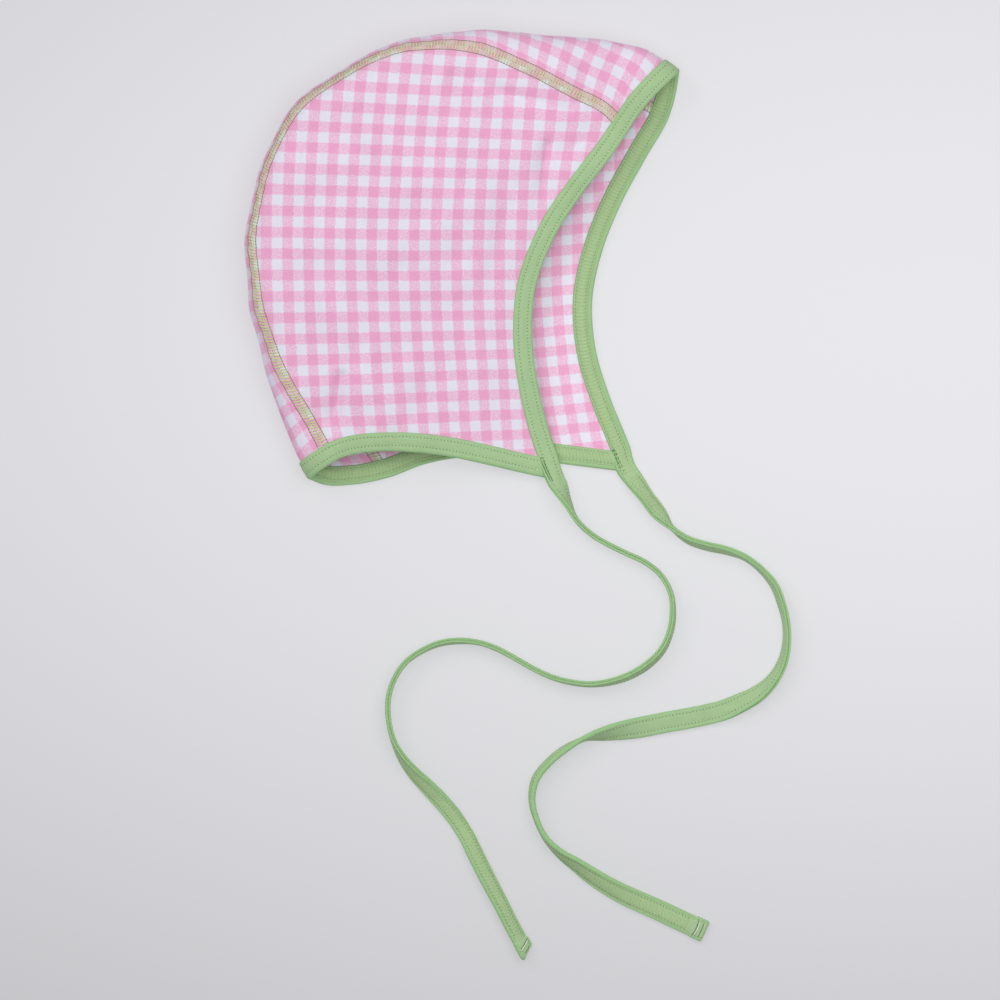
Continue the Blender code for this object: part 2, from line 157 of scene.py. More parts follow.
neckEdge = table(
    "along rightX rightY leftX leftY",
    (0.00, 0.730, 0.019, 0.898, 0.037),
    (0.12, 0.649, 0.035, 0.806, 0.048),
    (0.26, 0.567, 0.053, 0.699, 0.061),
    (0.40, 0.485, 0.070, 0.592, 0.072),
    (0.52, 0.414, 0.080, 0.500, 0.072),
    (0.64, 0.342, 0.085, 0.409, 0.057),
    (0.76, 0.270, 0.082, 0.322, 0.027),
    (0.87, 0.207, 0.067, 0.239, 0.012),
    (0.95, 0.166, 0.043, 0.178, 0.012),
    (1.00, 0.142, 0.025, 0.142, 0.025),
)
creaseLines = table(
    "fromX fromY toX  toY  depth breadth",
    (0.200, 0.150, 0.245, 0.290, 0.075, 0.028),
    (0.690, 0.735, 0.680, 0.610, 0.060, 0.030),
    (0.780, 0.905, 0.815, 0.850, 0.050, 0.022),
    (0.330, 0.300, 0.250, 0.420, 0.040, 0.035),
    (0.215, 0.244, 0.198, 0.146, 0.090, 0.013),  # from here on, fine ones that only the looks have
    (0.692, 0.745, 0.684, 0.640, 0.080, 0.014),
    (0.720, 0.724, 0.800, 0.770, 0.060, 0.014),
    (0.479, 0.895, 0.736, 0.825, 0.065, 0.017),
    (0.560, 0.470, 0.600, 0.600, 0.024, 0.018),
    (0.430, 0.190, 0.520, 0.170, 0.022, 0.014),
)
rightTieRoute = table(
    "x       y       roll  width",
    (0.0018, -0.0100, 72, 1),
    (0.0058, -0.0175, 90, 1),
    (0.0118, -0.0233, 90, 1),
    (0.0192, -0.0278, 90, 1),
    (0.0268, -0.0315, 90, 1),
    (0.0344, -0.0351, 90, 1),
    (0.0410, -0.0405, 90, 1),
    (0.0452, -0.0481, 88, 1),
    (0.0461, -0.0566, 84, 1),
    (0.0448, -0.0650, 82, 1),
    (0.0412, -0.0726, 79, 1),
    (0.0352, -0.0785, 77, 1),
    (0.0281, -0.0827, 78, 1),
    (0.0203, -0.0853, 81, 1),
    (0.0120, -0.0864, 85, 1),
    (0.0036, -0.0856, 86, 1),
    (-0.0047, -0.0834, 88, 1),
    (-0.0124, -0.0799, 90, 1),
    (-0.0197, -0.0758, 90, 1),
    (-0.0271, -0.0718, 88, 1),
    (-0.0350, -0.0690, 88, 1),
    (-0.0434, -0.0682, 84, 1),
    (-0.0516, -0.0692, 84, 1),
    (-0.0592, -0.0723, 86, 1),
    (-0.0661, -0.0772, 88, 1),
    (-0.0709, -0.0843, 90, 1),
    (-0.0734, -0.0925, 90, 1),
    (-0.0733, -0.1011, 90, 1),
    (-0.0714, -0.1095, 92, 1),
    (-0.0677, -0.1172, 104, 1),
    (-0.0625, -0.1240, 120, 0.96),
    (-0.0566, -0.1300, 138, 0.88),
    (-0.0508, -0.1361, 156, 0.82),
    (-0.0454, -0.1426, 172, 0.78),
    (-0.0408, -0.1497, 186, 0.78),
    (-0.0371, -0.1573, 198, 0.80),
    (-0.0334, -0.1649, 206, 0.83),
    (-0.0295, -0.1724, 212, 0.84),
    (-0.0256, -0.1798, 216, 0.83),
    (-0.0219, -0.1872, 216, 0.82),
    (-0.0182, -0.1940, 216, 0.82),
)
leftTieRoute = table(
    "x       y       roll  width",
    (0.0040, -0.0105, 50, 1),
    (0.0095, -0.0177, 52, 1),
    (0.0151, -0.0242, 88, 1),
    (0.0218, -0.0292, 102, 1),
    (0.0297, -0.0319, 106, 1),
    (0.0379, -0.0337, 104, 1),
    (0.0459, -0.0367, 98, 1),
    (0.0527, -0.0419, 99, 1),
    (0.0581, -0.0485, 104, 1),
    (0.0612, -0.0564, 104, 1),
    (0.0631, -0.0647, 102, 1),
    (0.0632, -0.0732, 105, 1),
    (0.0612, -0.0814, 112, 1),
    (0.0569, -0.0885, 122, 1),
    (0.0509, -0.0939, 138, 1),
    (0.0438, -0.0977, 154, 1),
    (0.0363, -0.1009, 170, 1),
    (0.0284, -0.1029, 180, 1),
    (0.0201, -0.1045, 180, 1),
    (0.0118, -0.1060, 180, 1),
    (0.0036, -0.1076, 188, 1),
    (-0.0048, -0.1090, 210, 1),
    (-0.0131, -0.1105, 236, 1),
    (-0.0216, -0.1127, 266, 1),
    (-0.0294, -0.1168, 280, 1),
    (-0.0365, -0.1225, 282, 1),
    (-0.0422, -0.1298, 282, 1),
    (-0.0437, -0.1386, 277, 1),
    (-0.0416, -0.1471, 274, 1),
    (-0.0378, -0.1547, 276, 1),
    (-0.0320, -0.1608, 288, 1),
    (-0.0251, -0.1656, 304, 1),
    (-0.0183, -0.1704, 318, 1),
    (-0.0112, -0.1748, 328, 1),
    (-0.0039, -0.1787, 340, 1),
    (0.0038, -0.1822, 352, 1),
    (0.0114, -0.1856, 360, 1),
    (0.0190, -0.1892, 360, 1),
    (0.0240, -0.1915, 360, 1),
)


def smooth(at, values, where):  # a smooth curve through the values, read at where
    flat = np.asarray(values, float).reshape(len(at), -1)
    slopes = np.gradient(flat, at, axis=0)
    left = np.clip(np.searchsorted(at, where, side="right") - 1, 0, len(at) - 2)
    span = (at[left + 1] - at[left])[:, None]
    u = (where - at[left])[:, None] / span
    start = (2 * u**3 - 3 * u**2 + 1) * flat[left] + (u**3 - 2 * u**2 + u) * span * slopes[left]
    end = (3 * u**2 - 2 * u**3) * flat[left + 1] + (u**3 - u**2) * span * slopes[left + 1]
    return (start + end).reshape((len(where), *np.shape(values)[1:]))


def ease(u):
    u = np.clip(u, 0, 1)
    return u * u * (3 - 2 * u)


def unit(vectors):
    return vectors / np.linalg.norm(vectors, axis=-1, keepdims=True)


def lengthAlong(points):
    steps = np.linalg.norm(np.diff(points, axis=0), axis=-1)
    return np.concatenate([[0], np.cumsum(steps)])


def place(x, y):
    return np.stack([(x - cap["originX"]) * cap["length"], (y - cap["originY"]) * cap["height"]], -1)


def edge(outline, side, reach):
    return place(*(smooth(outline["along"], outline[side + name], reach) for name in "XY"))


def foldValue(name, along):
    return float(smooth(crownFold["along"], crownFold[name], np.array([along]))[0])


def foldPlace(along):
    return place(foldValue("x", along), foldValue("y", along))


def plan(along, side, reach):  # one side's cloth from above, and how far it is from the fold
    corner = place(faceEdge[side + "X"][0], faceEdge[side + "Y"][0])
    fold = foldPlace(along)
    share = reach[:, None]
    neck = edge(neckEdge, side, reach) - corner - share * (foldPlace(0) - corner)
    face = edge(faceEdge, side, reach) - corner - share * (foldPlace(1) - corner)
    straight = corner + share * (fold - corner)
    return straight + (1 - along) * neck + along * face, np.linalg.norm(fold - corner) * (1 - reach)


def nearOpening(points, side):  # 1 along one side's cut edges, 0 inside the cap
    reach = np.linspace(0, 1, cloth["edgeSteps"])
    edges = np.concatenate([edge(neckEdge, side, reach), edge(faceEdge, side, reach)])
    distance = np.sqrt(((points[:, None] - edges[None]) ** 2).sum(2).min(1))
    return 1 - ease((distance - cap["edgeLevel"] * binding["reach"]) / cap["edgeFade"])


def creaseDepth(points):
    down = np.zeros(len(points))
    for fromX, fromY, toX, toY, depth, breadth in zip(*creaseLines.values()):
        start, end = place(fromX, fromY), place(toX, toY)
        along = np.clip((points - start) @ (end - start) / ((end - start) @ (end - start)), 0, 1)
        away = np.linalg.norm(points - start - along[:, None] * (end - start), axis=1)
        down += depth * cap["loft"] * np.exp(-((away / (breadth * cap["length"])) ** 2))
    return down


def section(along):  # the cloth's middle line from the right corner over the fold to the left one
    step = np.linspace(1, 0, cloth["fineSteps"])
    reach = 1 - (1 - cap["cornerShare"]) * step**2
    loft = foldValue("loft", along) * cap["loft"]
    over, out = plan(along, "right", reach)
    under, back = plan(along, "left", reach)
    half = cloth["thickness"] / 2
    rest = half + (binding["thickness"] / 2 - half) * nearOpening(under, "left")
    middle = (loft + rest[-1]) / 2
    swell = [np.sqrt(1 - np.clip(1 - d / loft, 0, 1) ** cap["foldPower"]) for d in (out, back)]
    rise = ease((reach - cap["riseStart"]) / (cap["riseEnd"] - cap["riseStart"]))
    high = middle + (cornerRise + (loft - cornerRise) * rise - middle) * swell[0]
    high -= creaseDepth(over) * np.sqrt(1 - nearOpening(over, "right")) * swell[0]
    low = middle - (middle - rest) * swell[1]
    line = np.concatenate([np.column_stack([over, high]), np.column_stack([under, low])[::-1][1:]])
    length = lengthAlong(line)
    count = cloth["fineSteps"]
    rightSeam = np.interp(-foldValue("rightSeam", along) * cap["length"], -out, length[:count])
    leftSeam = np.interp(foldValue("leftSeam", along) * cap["length"], back[::-1], length[count - 1 :])
    return line, length, rightSeam, leftSeam


def shareOut(line, length, start, end, count):  # closer together where the line turns
    heading = unit(np.diff(line, axis=0))
    turn = np.arccos(np.clip((heading[1:] * heading[:-1]).sum(1), -1, 1))
    effort = np.diff(length) / cloth["targetLength"]
    effort[1:] += turn / cloth["targetTurn"]
    effort = np.concatenate([[0], np.cumsum(effort)])
    ends = np.interp([start, end], length, effort)
    places = np.interp(np.linspace(*ends, count), effort, length)
    return (places - places[0]) / (places[-1] - places[0])


def evened(shares):  # each row's shares like those of the rows beside it, for smooth columns
    weights = np.hanning(cloth["evenRows"] + 2)[1:-1]
    padded = np.pad(shares, ((len(weights) // 2, len(weights) // 2), (0, 0)), mode="edge")
    windows = np.lib.stride_tricks.sliding_window_view(padded, len(weights), axis=0)
    return windows @ (weights / weights.sum())


def outwardOf(grid):
    return unit(np.cross(np.gradient(grid, axis=0), np.gradient(grid, axis=1)))


wrinkles = table(  # long soft waves in the upper cloth: direction, wave length, height, start
    "angle wave   height   start",
    (20, 0.046, 0.00035, 0.4),
    (75, 0.031, 0.00030, 1.9),
    (128, 0.023, 0.00022, 3.1),
    (165, 0.017, 0.00014, 5.0),
)
wrinkleFall = {"bend": 1.3, "bendRate": 1.7, "lowest": 0.004, "over": 0.010}
seamPull = {  # how the flat seam draws the cloth along it
    "wave": 0.0062,
    "height": 0.00022,
    "breadth": 0.0042,
    "sink": 0.00012,
    "sinkAt": 0.0028,
    "sinkBreadth": 0.0007,
    "lowFade": 0.006,
}


def wrinkleHeight(points):
    height = np.zeros(points.shape[:-1])
    for angle, wave, tall, start in zip(*wrinkles.values()):
        turn = math.radians(angle)
        run = points[..., 0] * math.cos(turn) + points[..., 1] * math.sin(turn)
        aside = points[..., 0] * math.sin(turn) - points[..., 1] * math.cos(turn)
        bend = wrinkleFall["bend"] * np.sin(aside / wave * wrinkleFall["bendRate"])
        height += tall * np.sin(2 * math.pi * run / wave + start + bend)
    return height * ease((points[..., 2] - wrinkleFall["lowest"]) / wrinkleFall["over"])


def clothGrid():
    u = np.linspace(0, 1, cloth["rows"])
    beside = cloth["seamStep"] * np.arange(cloth["seamSteps"] + 1)
    reach = beside[-1]
    alongs = u - cloth["rowCrowding"] * np.sin(2 * math.pi * u) / (2 * math.pi)
    sections = [section(along) for along in alongs]
    spans = [[(0, right - reach), (right + reach, left - reach), (left + reach, length[-1])]
             for line, length, right, left in sections]
    counts = (cloth["sideColumns"], cloth["centreColumns"], cloth["sideColumns"])
    shares = []
    for k, count in enumerate(counts):
        rows = [shareOut(item[0], item[1], *span[k], count) for item, span in zip(sections, spans)]
        shares.append(evened(np.array(rows)))
    rows, arcs = [], []
    for i, (line, length, rightSeam, leftSeam) in enumerate(sections):
        side, centre, otherSide = [a + (b - a) * shares[k][i] for k, (a, b) in enumerate(spans[i])]
        flat = np.concatenate([
            side[:-1],
            rightSeam - beside[::-1],
            rightSeam + beside[1:-1],
            centre,
            leftSeam - beside[::-1][1:],
            leftSeam + beside[1:-1],
            otherSide,
        ])
        rows.append(np.column_stack([np.interp(flat, length, line[:, k]) for k in range(3)]))
        arcs.append(flat)
    grid, arc = np.array(rows), np.array(arcs)
    rightColumn = cloth["sideColumns"] - 1 + cloth["seamSteps"]
    leftColumn = rightColumn + 2 * cloth["seamSteps"] + cloth["centreColumns"] - 1
    move = wrinkleHeight(grid)
    for column in (rightColumn, leftColumn):
        away = np.abs(arc - arc[:, [column]])
        run = lengthAlong(grid[:, column])[:, None]
        pull = seamPull["height"] * np.sin(2 * math.pi * run / seamPull["wave"])
        pull = pull * ease(grid[..., 2] / seamPull["lowFade"])
        move += pull * np.exp(-((away / seamPull["breadth"]) ** 2))
        move -= seamPull["sink"] * np.exp(-(((away - seamPull["sinkAt"]) / seamPull["sinkBreadth"]) ** 2))
    moved = grid + move[..., None] * outwardOf(grid)
    moved[..., 2] = np.maximum(moved[..., 2], cloth["thickness"] / 2)
    return moved, arc, rightColumn, leftColumn


grid, arc, rightColumn, leftColumn = clothGrid()
outward = outwardOf(grid)
print("cloth laid out:", grid.shape)


# Strips: a middle surface and its outer side, at stations along and at even shares across
def makeStrip(middle, normal, step):
    at = lengthAlong(middle[:, middle.shape[1] // 2])
    where = np.linspace(0, at[-1], round(at[-1] / step) + 1)
    return {"at": where, "middle": smooth(at, middle, where), "normal": unit(smooth(at, normal, where))}


def onStrip(strip, stations, shares, heights):  # points at shares across and heights off the middle
    middle, normal = strip["middle"], strip["normal"]
    position = np.clip(shares * (middle.shape[1] - 1), 0, middle.shape[1] - 1.000001)
    low = position.astype(int)
    part = (position - low)[..., None]
    lowRow = np.clip(np.floor(stations).astype(int), 0, len(middle) - 2)
    rowPart = np.clip(stations - lowRow, 0, 1)[..., None]

    def read(values):
        near = values[lowRow, low] * (1 - part) + values[lowRow, low + 1] * part
        far = values[lowRow + 1, low] * (1 - part) + values[lowRow + 1, low + 1] * part
        return near * (1 - rowPart) + far * rowPart

    up = unit(read(normal))
    return read(middle) + heights[..., None] * up, up


def wayIn(rows, heading, start):  # the cloth's line straight in from its edge
    path = [start]
    for inner in rows:
        before = inner[0] + cloth["edgeRun"] * unit(inner[0] - inner[1])
        after = inner[-1] + cloth["edgeRun"] * unit(inner[-1] - inner[-2])
        row = np.vstack([before, inner, after])
        side = (row - start) @ heading
        crossing = np.flatnonzero((side[1:] > 0) != (side[:-1] > 0))
        share = side[crossing] / (side[crossing] - side[crossing + 1])
        found = row[crossing] + share[:, None] * (row[crossing + 1] - row[crossing])
        if not len(found):
            break
        path.append(min(found, key=lambda point: np.linalg.norm(point - path[-1])))
        if np.linalg.norm(path[-1] - start) > 2 * binding["reach"]:
            break
    return np.array([*path, path[-1] + 2 * binding["reach"] * unit(path[-1] - path[-2])])


def alongPath(path, distance):
    length = lengthAlong(path)
    return np.array([np.interp(distance, length, path[:, k]) for k in range(3)])


def edgeFrames(rows, outer):  # point, heading, way in and outer side at each column of an edge
    heading = unit(np.gradient(rows[0], axis=0))
    return [(p, heading[k], wayIn(rows[1:], heading[k], p), outer[k]) for k, p in enumerate(rows[0])]


def acrossBinding(frameHere):  # the cloth's middle and outer side under the strip
    point, heading, path, outer = frameHere
    step = binding["reach"] / 4
    middle, normal = [], []
    for share in np.linspace(0, 1, binding["placesAcross"]):
        inward = share * binding["width"] - binding["rim"]
        inside = max(inward, 0)
        way = unit(alongPath(path, inside + step) - alongPath(path, max(inside - step, 0)))
        up = np.cross(way, heading)
        up *= np.sign(up @ outer)
        middle.append(alongPath(path, inside) + min(inward, 0) * way)
        normal.append(up)
    return np.array(middle), np.array(normal)


def shifted(frameHere, move):
    point, heading, path, outer = frameHere
    return point + move, heading, path + move, outer


def inwardOf(frameHere):
    return unit((frameHere[2][1] - frameHere[0]) * (1, 1, 0))


faceFrames = edgeFrames(grid[::-1], outward[-1])
neckFrames = edgeFrames(grid, outward[0])
corners = []
for side, frameHere, way in (("right", faceFrames[0], -1), ("left", faceFrames[-1], 1)):
    corner = place(faceEdge[side + "X"][0], faceEdge[side + "Y"][0])
    beyond = np.linalg.norm(corner - frameHere[0][:2]) + binding["rim"]
    corners.append(shifted(frameHere, way * beyond * frameHere[1]))


def tieStrip(route, start, way, outer, startRoll):  # a tie's middle surface, rolled along its route
    heading, inward = way * start[1], inwardOf(start)
    corner = start[0][:2] - heading[:2] * binding["rim"]
    begin = start[0] + heading * tie["gap"] + inward * (binding["width"] / 2 - binding["rim"])
    points = np.vstack([begin[:2], corner + np.column_stack([route["x"], route["y"]])])
    rolls = np.radians(np.concatenate([[startRoll], route["roll"]]))
    widths = np.concatenate([[1], route["width"]]) * tie["width"]
    knots = lengthAlong(points)
    where = np.linspace(0, knots[-1], round(knots[-1] / binding["stations"]) + 1)
    line = smooth(knots, points, where)
    roll, width = smooth(knots, rolls, where), smooth(knots, widths, where)
    height = np.abs(np.sin(roll)) * width / 2 + np.abs(np.cos(roll)) * tie["thickness"] / 2
    height += (begin[2] - tie["thickness"] / 2) * (1 - ease(where / tie["drop"]))
    line = np.column_stack([line, height])
    settle = ease(where / tie["settle"])[:, None]
    ahead = unit(heading * (1 - settle) + unit(np.gradient(line, axis=0)) * settle)
    left = unit(np.cross([0, 0, 1], ahead))
    up = np.cross(ahead, left)
    across = left * np.cos(roll)[:, None] - up * np.sin(roll)[:, None]
    through = np.cross(ahead, across)
    shares = np.linspace(0, 1, binding["placesAcross"])[None, :, None]
    middle = line[:, None] + across[:, None] * width[:, None, None] * (0.5 - shares)
    normal = np.repeat(outer * through[:, None], binding["placesAcross"], axis=1)
    strip = {"at": lengthAlong(line), "middle": middle, "normal": normal}
    return strip, line, (line[-1], ahead[-1], across[-1], outer * through[-1], width[-1])


rightTie, rightTieLine, rightTieEnd = tieStrip(rightTieRoute, corners[0], -1, 1, tie["rightStartRoll"])
leftTie, leftTieLine, leftTieEnd = tieStrip(leftTieRoute, corners[1], 1, -1, tie["leftStartRoll"])
print("ties laid out:", round(rightTie["at"][-1], 4), round(leftTie["at"][-1], 4))


# Materials
def fromScreen(red, green, blue):  # a colour as the screen shows it, made linear
    values = np.array([red, green, blue]) / 255
    linear = np.where(values <= 0.04045, values / 12.92, ((values + 0.055) / 1.055) ** 2.4)
    return (*linear, 1)


def addNode(tree, kind, **settings):  # nodes stand in rows, in the order in which they are made
    node = tree.nodes.new(kind)
    row, column = divmod(len(tree.nodes), 8)
    node.location = (220 * column - 1500, 600 - 300 * row)
    for name, value in settings.items():
        setattr(node, name, value)
    return node


def feed(tree, sockets, values):  # an output is linked to its socket, and a plain value is set
    for label, value in values.items():
        if isinstance(value, bpy.types.NodeSocket):
            tree.links.new(value, sockets[label])
        elif value is not None:
            sockets[label].default_value = value


def maths(tree, operation, first, second=None, third=None, clamp=False):
    node = addNode(tree, "ShaderNodeMath", operation=operation, use_clamp=clamp)
    feed(tree, node.inputs, {0: first, 1: second, 2: third})
    return node.outputs[0]


def vectorMaths(tree, operation, first, second=None, scale=None):
    node = addNode(tree, "ShaderNodeVectorMath", operation=operation)
    feed(tree, node.inputs, {0: first, 1: second, "Scale": scale})
    return node.outputs


def mixColours(tree, factor, first, second):
    node = addNode(tree, "ShaderNodeMix", data_type="RGBA")
    feed(tree, node.inputs, {0: factor, 6: first, 7: second})
    return node.outputs[2]


def noiseAt(tree, vector, scale, detail):
    node = addNode(tree, "ShaderNodeTexNoise")
    feed(tree, node.inputs, {"Vector": vector, "Scale": scale, "Detail": detail})
    return node.outputs["Fac"]


def axesOf(tree, vector):
    node = addNode(tree, "ShaderNodeSeparateXYZ")
    feed(tree, node.inputs, {0: vector})
    return node.outputs


def objectPlace(tree):
    return addNode(tree, "ShaderNodeTexCoord").outputs["Object"]


def newGroup(name, results, **values):  # a vector and numbers go in, and numbers come out
    group = bpy.data.node_groups.new(name, "ShaderNodeTree")
    group.interface.new_socket("Vector", in_out="INPUT", socket_type="NodeSocketVector")
    for label, value in values.items():
        socket = group.interface.new_socket(label, in_out="INPUT", socket_type="NodeSocketFloat")
        socket.default_value = value
    for label in results:
        group.interface.new_socket(label, in_out="OUTPUT", socket_type="NodeSocketFloat")
    return group, addNode(group, "NodeGroupInput").outputs, addNode(group, "NodeGroupOutput").inputs


def useGroup(tree, group, vector, **values):
    node = addNode(tree, "ShaderNodeGroup", node_tree=group)
    feed(tree, node.inputs, {"Vector": vector, **values})
    return node.outputs


def makeKnitGroup():  # columns of knit loops, as a height from 0 to 1
    group, given, result = newGroup("knitLoops", ["Height"], Wale=0.0005, Course=0.0004, Ragged=0.25)
    noise = noiseAt(group, given["Vector"], 900, 1)
    parts = axesOf(group, given["Vector"])
    wale = maths(group, "DIVIDE", parts[0], given["Wale"])
    course = maths(group, "DIVIDE", parts[1], given["Course"])
    ridge = maths(group, "ABSOLUTE", maths(group, "SINE", maths(group, "MULTIPLY", wale, math.pi)))
    slant = maths(group, "ADD", course, maths(group, "MULTIPLY", ridge, 0.6))
    loop = maths(group, "SINE", maths(group, "MULTIPLY", slant, 2 * math.pi))
    loops = maths(group, "MULTIPLY_ADD", ridge, 0.5, maths(group, "MULTIPLY_ADD", loop, 0.25, 0.5))
    rough = maths(group, "MULTIPLY", noise, given["Ragged"])
    feed(group, result, {"Height": maths(group, "ADD", loops, rough)})
    return group


def makeCheckGroup():  # two sets of stripes, each 1 where it carries no colour
    group, given, result = newGroup("ginghamStripes", ["Across", "Down"], Ragged=0.12, Softness=0.20, Grain=7)
    noise = noiseAt(group, given["Vector"], given["Grain"], 3)
    shake = maths(group, "MULTIPLY", maths(group, "SUBTRACT", noise, 0.5), given["Ragged"])
    parts = axesOf(group, given["Vector"])
    for k, label in enumerate(("Across", "Down")):
        moved = maths(group, "ADD", parts[k], shake)
        wave = maths(group, "COSINE", maths(group, "MULTIPLY", moved, 2 * math.pi))
        ramp = maths(group, "DIVIDE", wave, given["Softness"])
        feed(group, result, {label: maths(group, "MULTIPLY_ADD", ramp, 0.5, 0.5, clamp=True)})
    return group


def makeMottleGroup():  # faint unevenness of dye and wash, centred on 0
    group, given, result = newGroup("washMottle", ["Shift"], Scale=60, Amount=0.1)
    centred = maths(group, "SUBTRACT", noiseAt(group, given["Vector"], given["Scale"], 3), 0.5)
    feed(group, result, {"Shift": maths(group, "MULTIPLY", centred, given["Amount"])})
    return group


knitGroup = makeKnitGroup()
checkGroup = makeCheckGroup()
mottleGroup = makeMottleGroup()


def newMaterial(name, look):
    material = bpy.data.materials.new(name)
    material.use_nodes = True
    shader = material.node_tree.nodes["Principled BSDF"].inputs
    feed(material.node_tree, shader, {
        "Roughness": look["roughness"],
        "Sheen Weight": look["sheen"],
        "Sheen Roughness": 0.6,
        "Sheen Tint": look["tint"],
        "Specular IOR Level": 0.25,
    })
    return material, material.node_tree, shader


def twoTone(tree, dye, first, second):  # one colour that runs into another in small patches
    mottle = useGroup(tree, mottleGroup, objectPlace(tree), **dye)
    return mixColours(tree, maths(tree, "ADD", mottle["Shift"], 0.5, clamp=True), first, second)


def washed(tree, shader, colour, wash, level=1.0):  # the base colour, faintly uneven in brightness
    mottle = useGroup(tree, mottleGroup, objectPlace(tree), **wash)
    shade = addNode(tree, "ShaderNodeHueSaturation")
    feed(tree, shade.inputs, {"Color": colour, "Value": maths(tree, "ADD", mottle["Shift"], level)})
    feed(tree, shader, {"Base Color": shade.outputs[0]})


def bumpFrom(tree, shader, height, distance, strength):
    bump = addNode(tree, "ShaderNodeBump")
    feed(tree, bump.inputs, {"Height": height, "Distance": distance, "Strength": strength})
    feed(tree, shader, {"Normal": bump.outputs[0]})


gingham = {
    "white": fromScreen(229, 226, 239),
    "middle": fromScreen(236, 181, 212),
    "middleSpeck": fromScreen(235, 206, 226),
    "deep": fromScreen(234, 162, 200),
    "deepSpeck": fromScreen(237, 178, 210),
    "specks": (13, 2),  # scale and detail
    "speckRamp": (7.0, -3.1),
    "deepSpecks": 0.5,
    "pitch": 0.0089,  # one white check and one pink one
    "wash": {"Scale": 70, "Amount": 0.10},
    "knit": {"Wale": 0.0006, "Course": 0.0005, "Ragged": 0.8},
    "bump": (0.00012, 0.8),  # distance and strength
    "roughness": 0.92,
    "sheen": 0.15,
    "tint": (1, 0.95, 0.98, 1),
}


def ginghamMaterial(name, paintedLift):
    material, tree, shader = newMaterial(name, gingham)
    uv = addNode(tree, "ShaderNodeUVMap", uv_map="checks").outputs[0]
    stripes = useGroup(tree, checkGroup, uv)
    specks = noiseAt(tree, uv, *gingham["specks"])
    specks = maths(tree, "MULTIPLY_ADD", specks, *gingham["speckRamp"], clamp=True)
    middle = mixColours(tree, specks, gingham["middle"], gingham["middleSpeck"])
    specks = maths(tree, "MULTIPLY", specks, gingham["deepSpecks"])
    deep = mixColours(tree, specks, gingham["deep"], gingham["deepSpeck"])
    either = maths(tree, "MAXIMUM", stripes["Across"], stripes["Down"])
    both = maths(tree, "MINIMUM", stripes["Across"], stripes["Down"])
    checks = mixColours(tree, both, mixColours(tree, either, deep, middle), gingham["white"])
    # the base colour times paintedLift, a painted brightening of the whole cloth; 1 paints none
    washed(tree, shader, checks, gingham["wash"], paintedLift)
    flat = vectorMaths(tree, "SCALE", uv, scale=gingham["pitch"])[0]
    bumpFrom(tree, shader, useGroup(tree, knitGroup, flat, **gingham["knit"])["Height"], *gingham["bump"])
    return material


green = {
    "outer": fromScreen(170, 199, 151),
    "outerShade": fromScreen(162, 193, 143),
    "reverse": fromScreen(172, 200, 150),
    "fold": fromScreen(155, 199, 138),  # the brighter green along the strip's long edges, partly the fold's own colour and partly painted shading where the fold curves over
    "dye": {"Scale": 700, "Amount": 1.6},
    "wash": {"Scale": 80, "Amount": 0.12},
    "knit": {"Wale": 0.00055, "Course": 0.00045, "Ragged": 0.6},
    "bump": (0.00012, 0.7),
    "roughness": 0.9,
    "sheen": 0.15,
    "tint": (0.95, 1, 0.92, 1),
}


def greenMaterial():
    material, tree, shader = newMaterial("binding_jersey", green)
    colour = twoTone(tree, green["dye"], green["outer"], green["outerShade"])
    for label in ("reverse", "fold"):
        share = addNode(tree, "ShaderNodeAttribute", attribute_name=label).outputs["Fac"]
        colour = mixColours(tree, share, colour, green[label])
    washed(tree, shader, colour, green["wash"])
    uv = addNode(tree, "ShaderNodeUVMap", uv_map="strip").outputs[0]
    bumpFrom(tree, shader, useGroup(tree, knitGroup, uv, **green["knit"])["Height"], *green["bump"])
    return material


threads = {
    "dye": {"Scale": 1400, "Amount": 1.5},
    "ply": (4000, 2),
    "bump": (0.00004, 1),
    "roughness": 0.6,
    "sheen": 0.1,
    "tint": (1, 1, 1, 1),
}


def threadMaterial(name, colour, paler):
    material, tree, shader = newMaterial(name, threads)
    feed(tree, shader, {"Base Color": twoTone(tree, threads["dye"], fromScreen(*colour), fromScreen(*paler))})
    bumpFrom(tree, shader, noiseAt(tree, objectPlace(tree), *threads["ply"]), *threads["bump"])
    return material


ginghamCloth = ginghamMaterial("gingham_jersey", 1.0)
# painted light: the lower panel, seen inside the cap, gets the same gingham painted 9% lighter to lift the
# shade inside the cap
paintedLightGingham = ginghamMaterial("gingham_jersey_painted_lighter", 1.09)
greenCloth = greenMaterial()
# dark green needle thread, also used for the tacks and end bars: on the needle rows its dark colour carries
# the painted shade of the needle holes
needleThreadAndHoleShade = threadMaterial("needle_thread_and_painted_hole_shade", (88, 130, 80), (102, 144, 92))
bridgeThread = threadMaterial("bridge_thread", (196, 220, 176), (184, 212, 164))
looperThread = threadMaterial("looper_thread", (180, 206, 145), (168, 197, 133))
dotThread = threadMaterial("dot_thread", (126, 162, 98), (140, 174, 110))
rungThread = threadMaterial("rung_thread", (218, 230, 170), (200, 218, 140))
# dark olive threads along the flat seams' edges: partly the thread loops, partly painted contact shadow along
# the seam's edges
oliveThreadAndEdgeShadow = threadMaterial("olive_thread_and_painted_edge_shadow", (124, 134, 80), (142, 150, 92))
dashThread = threadMaterial("dash_thread", (128, 138, 112), (112, 124, 98))
whiteThread = threadMaterial("white_thread", (236, 238, 232), (222, 226, 216))
print("materials made")


# Cloth panels
def gridFaces(rowCount, columnCount):
    index = np.arange(rowCount * columnCount).reshape(rowCount, columnCount)
    quads = [index[:-1, :-1], index[1:, :-1], index[1:, 1:], index[:-1, 1:]]
    return np.stack(quads, -1).reshape(-1, 4)


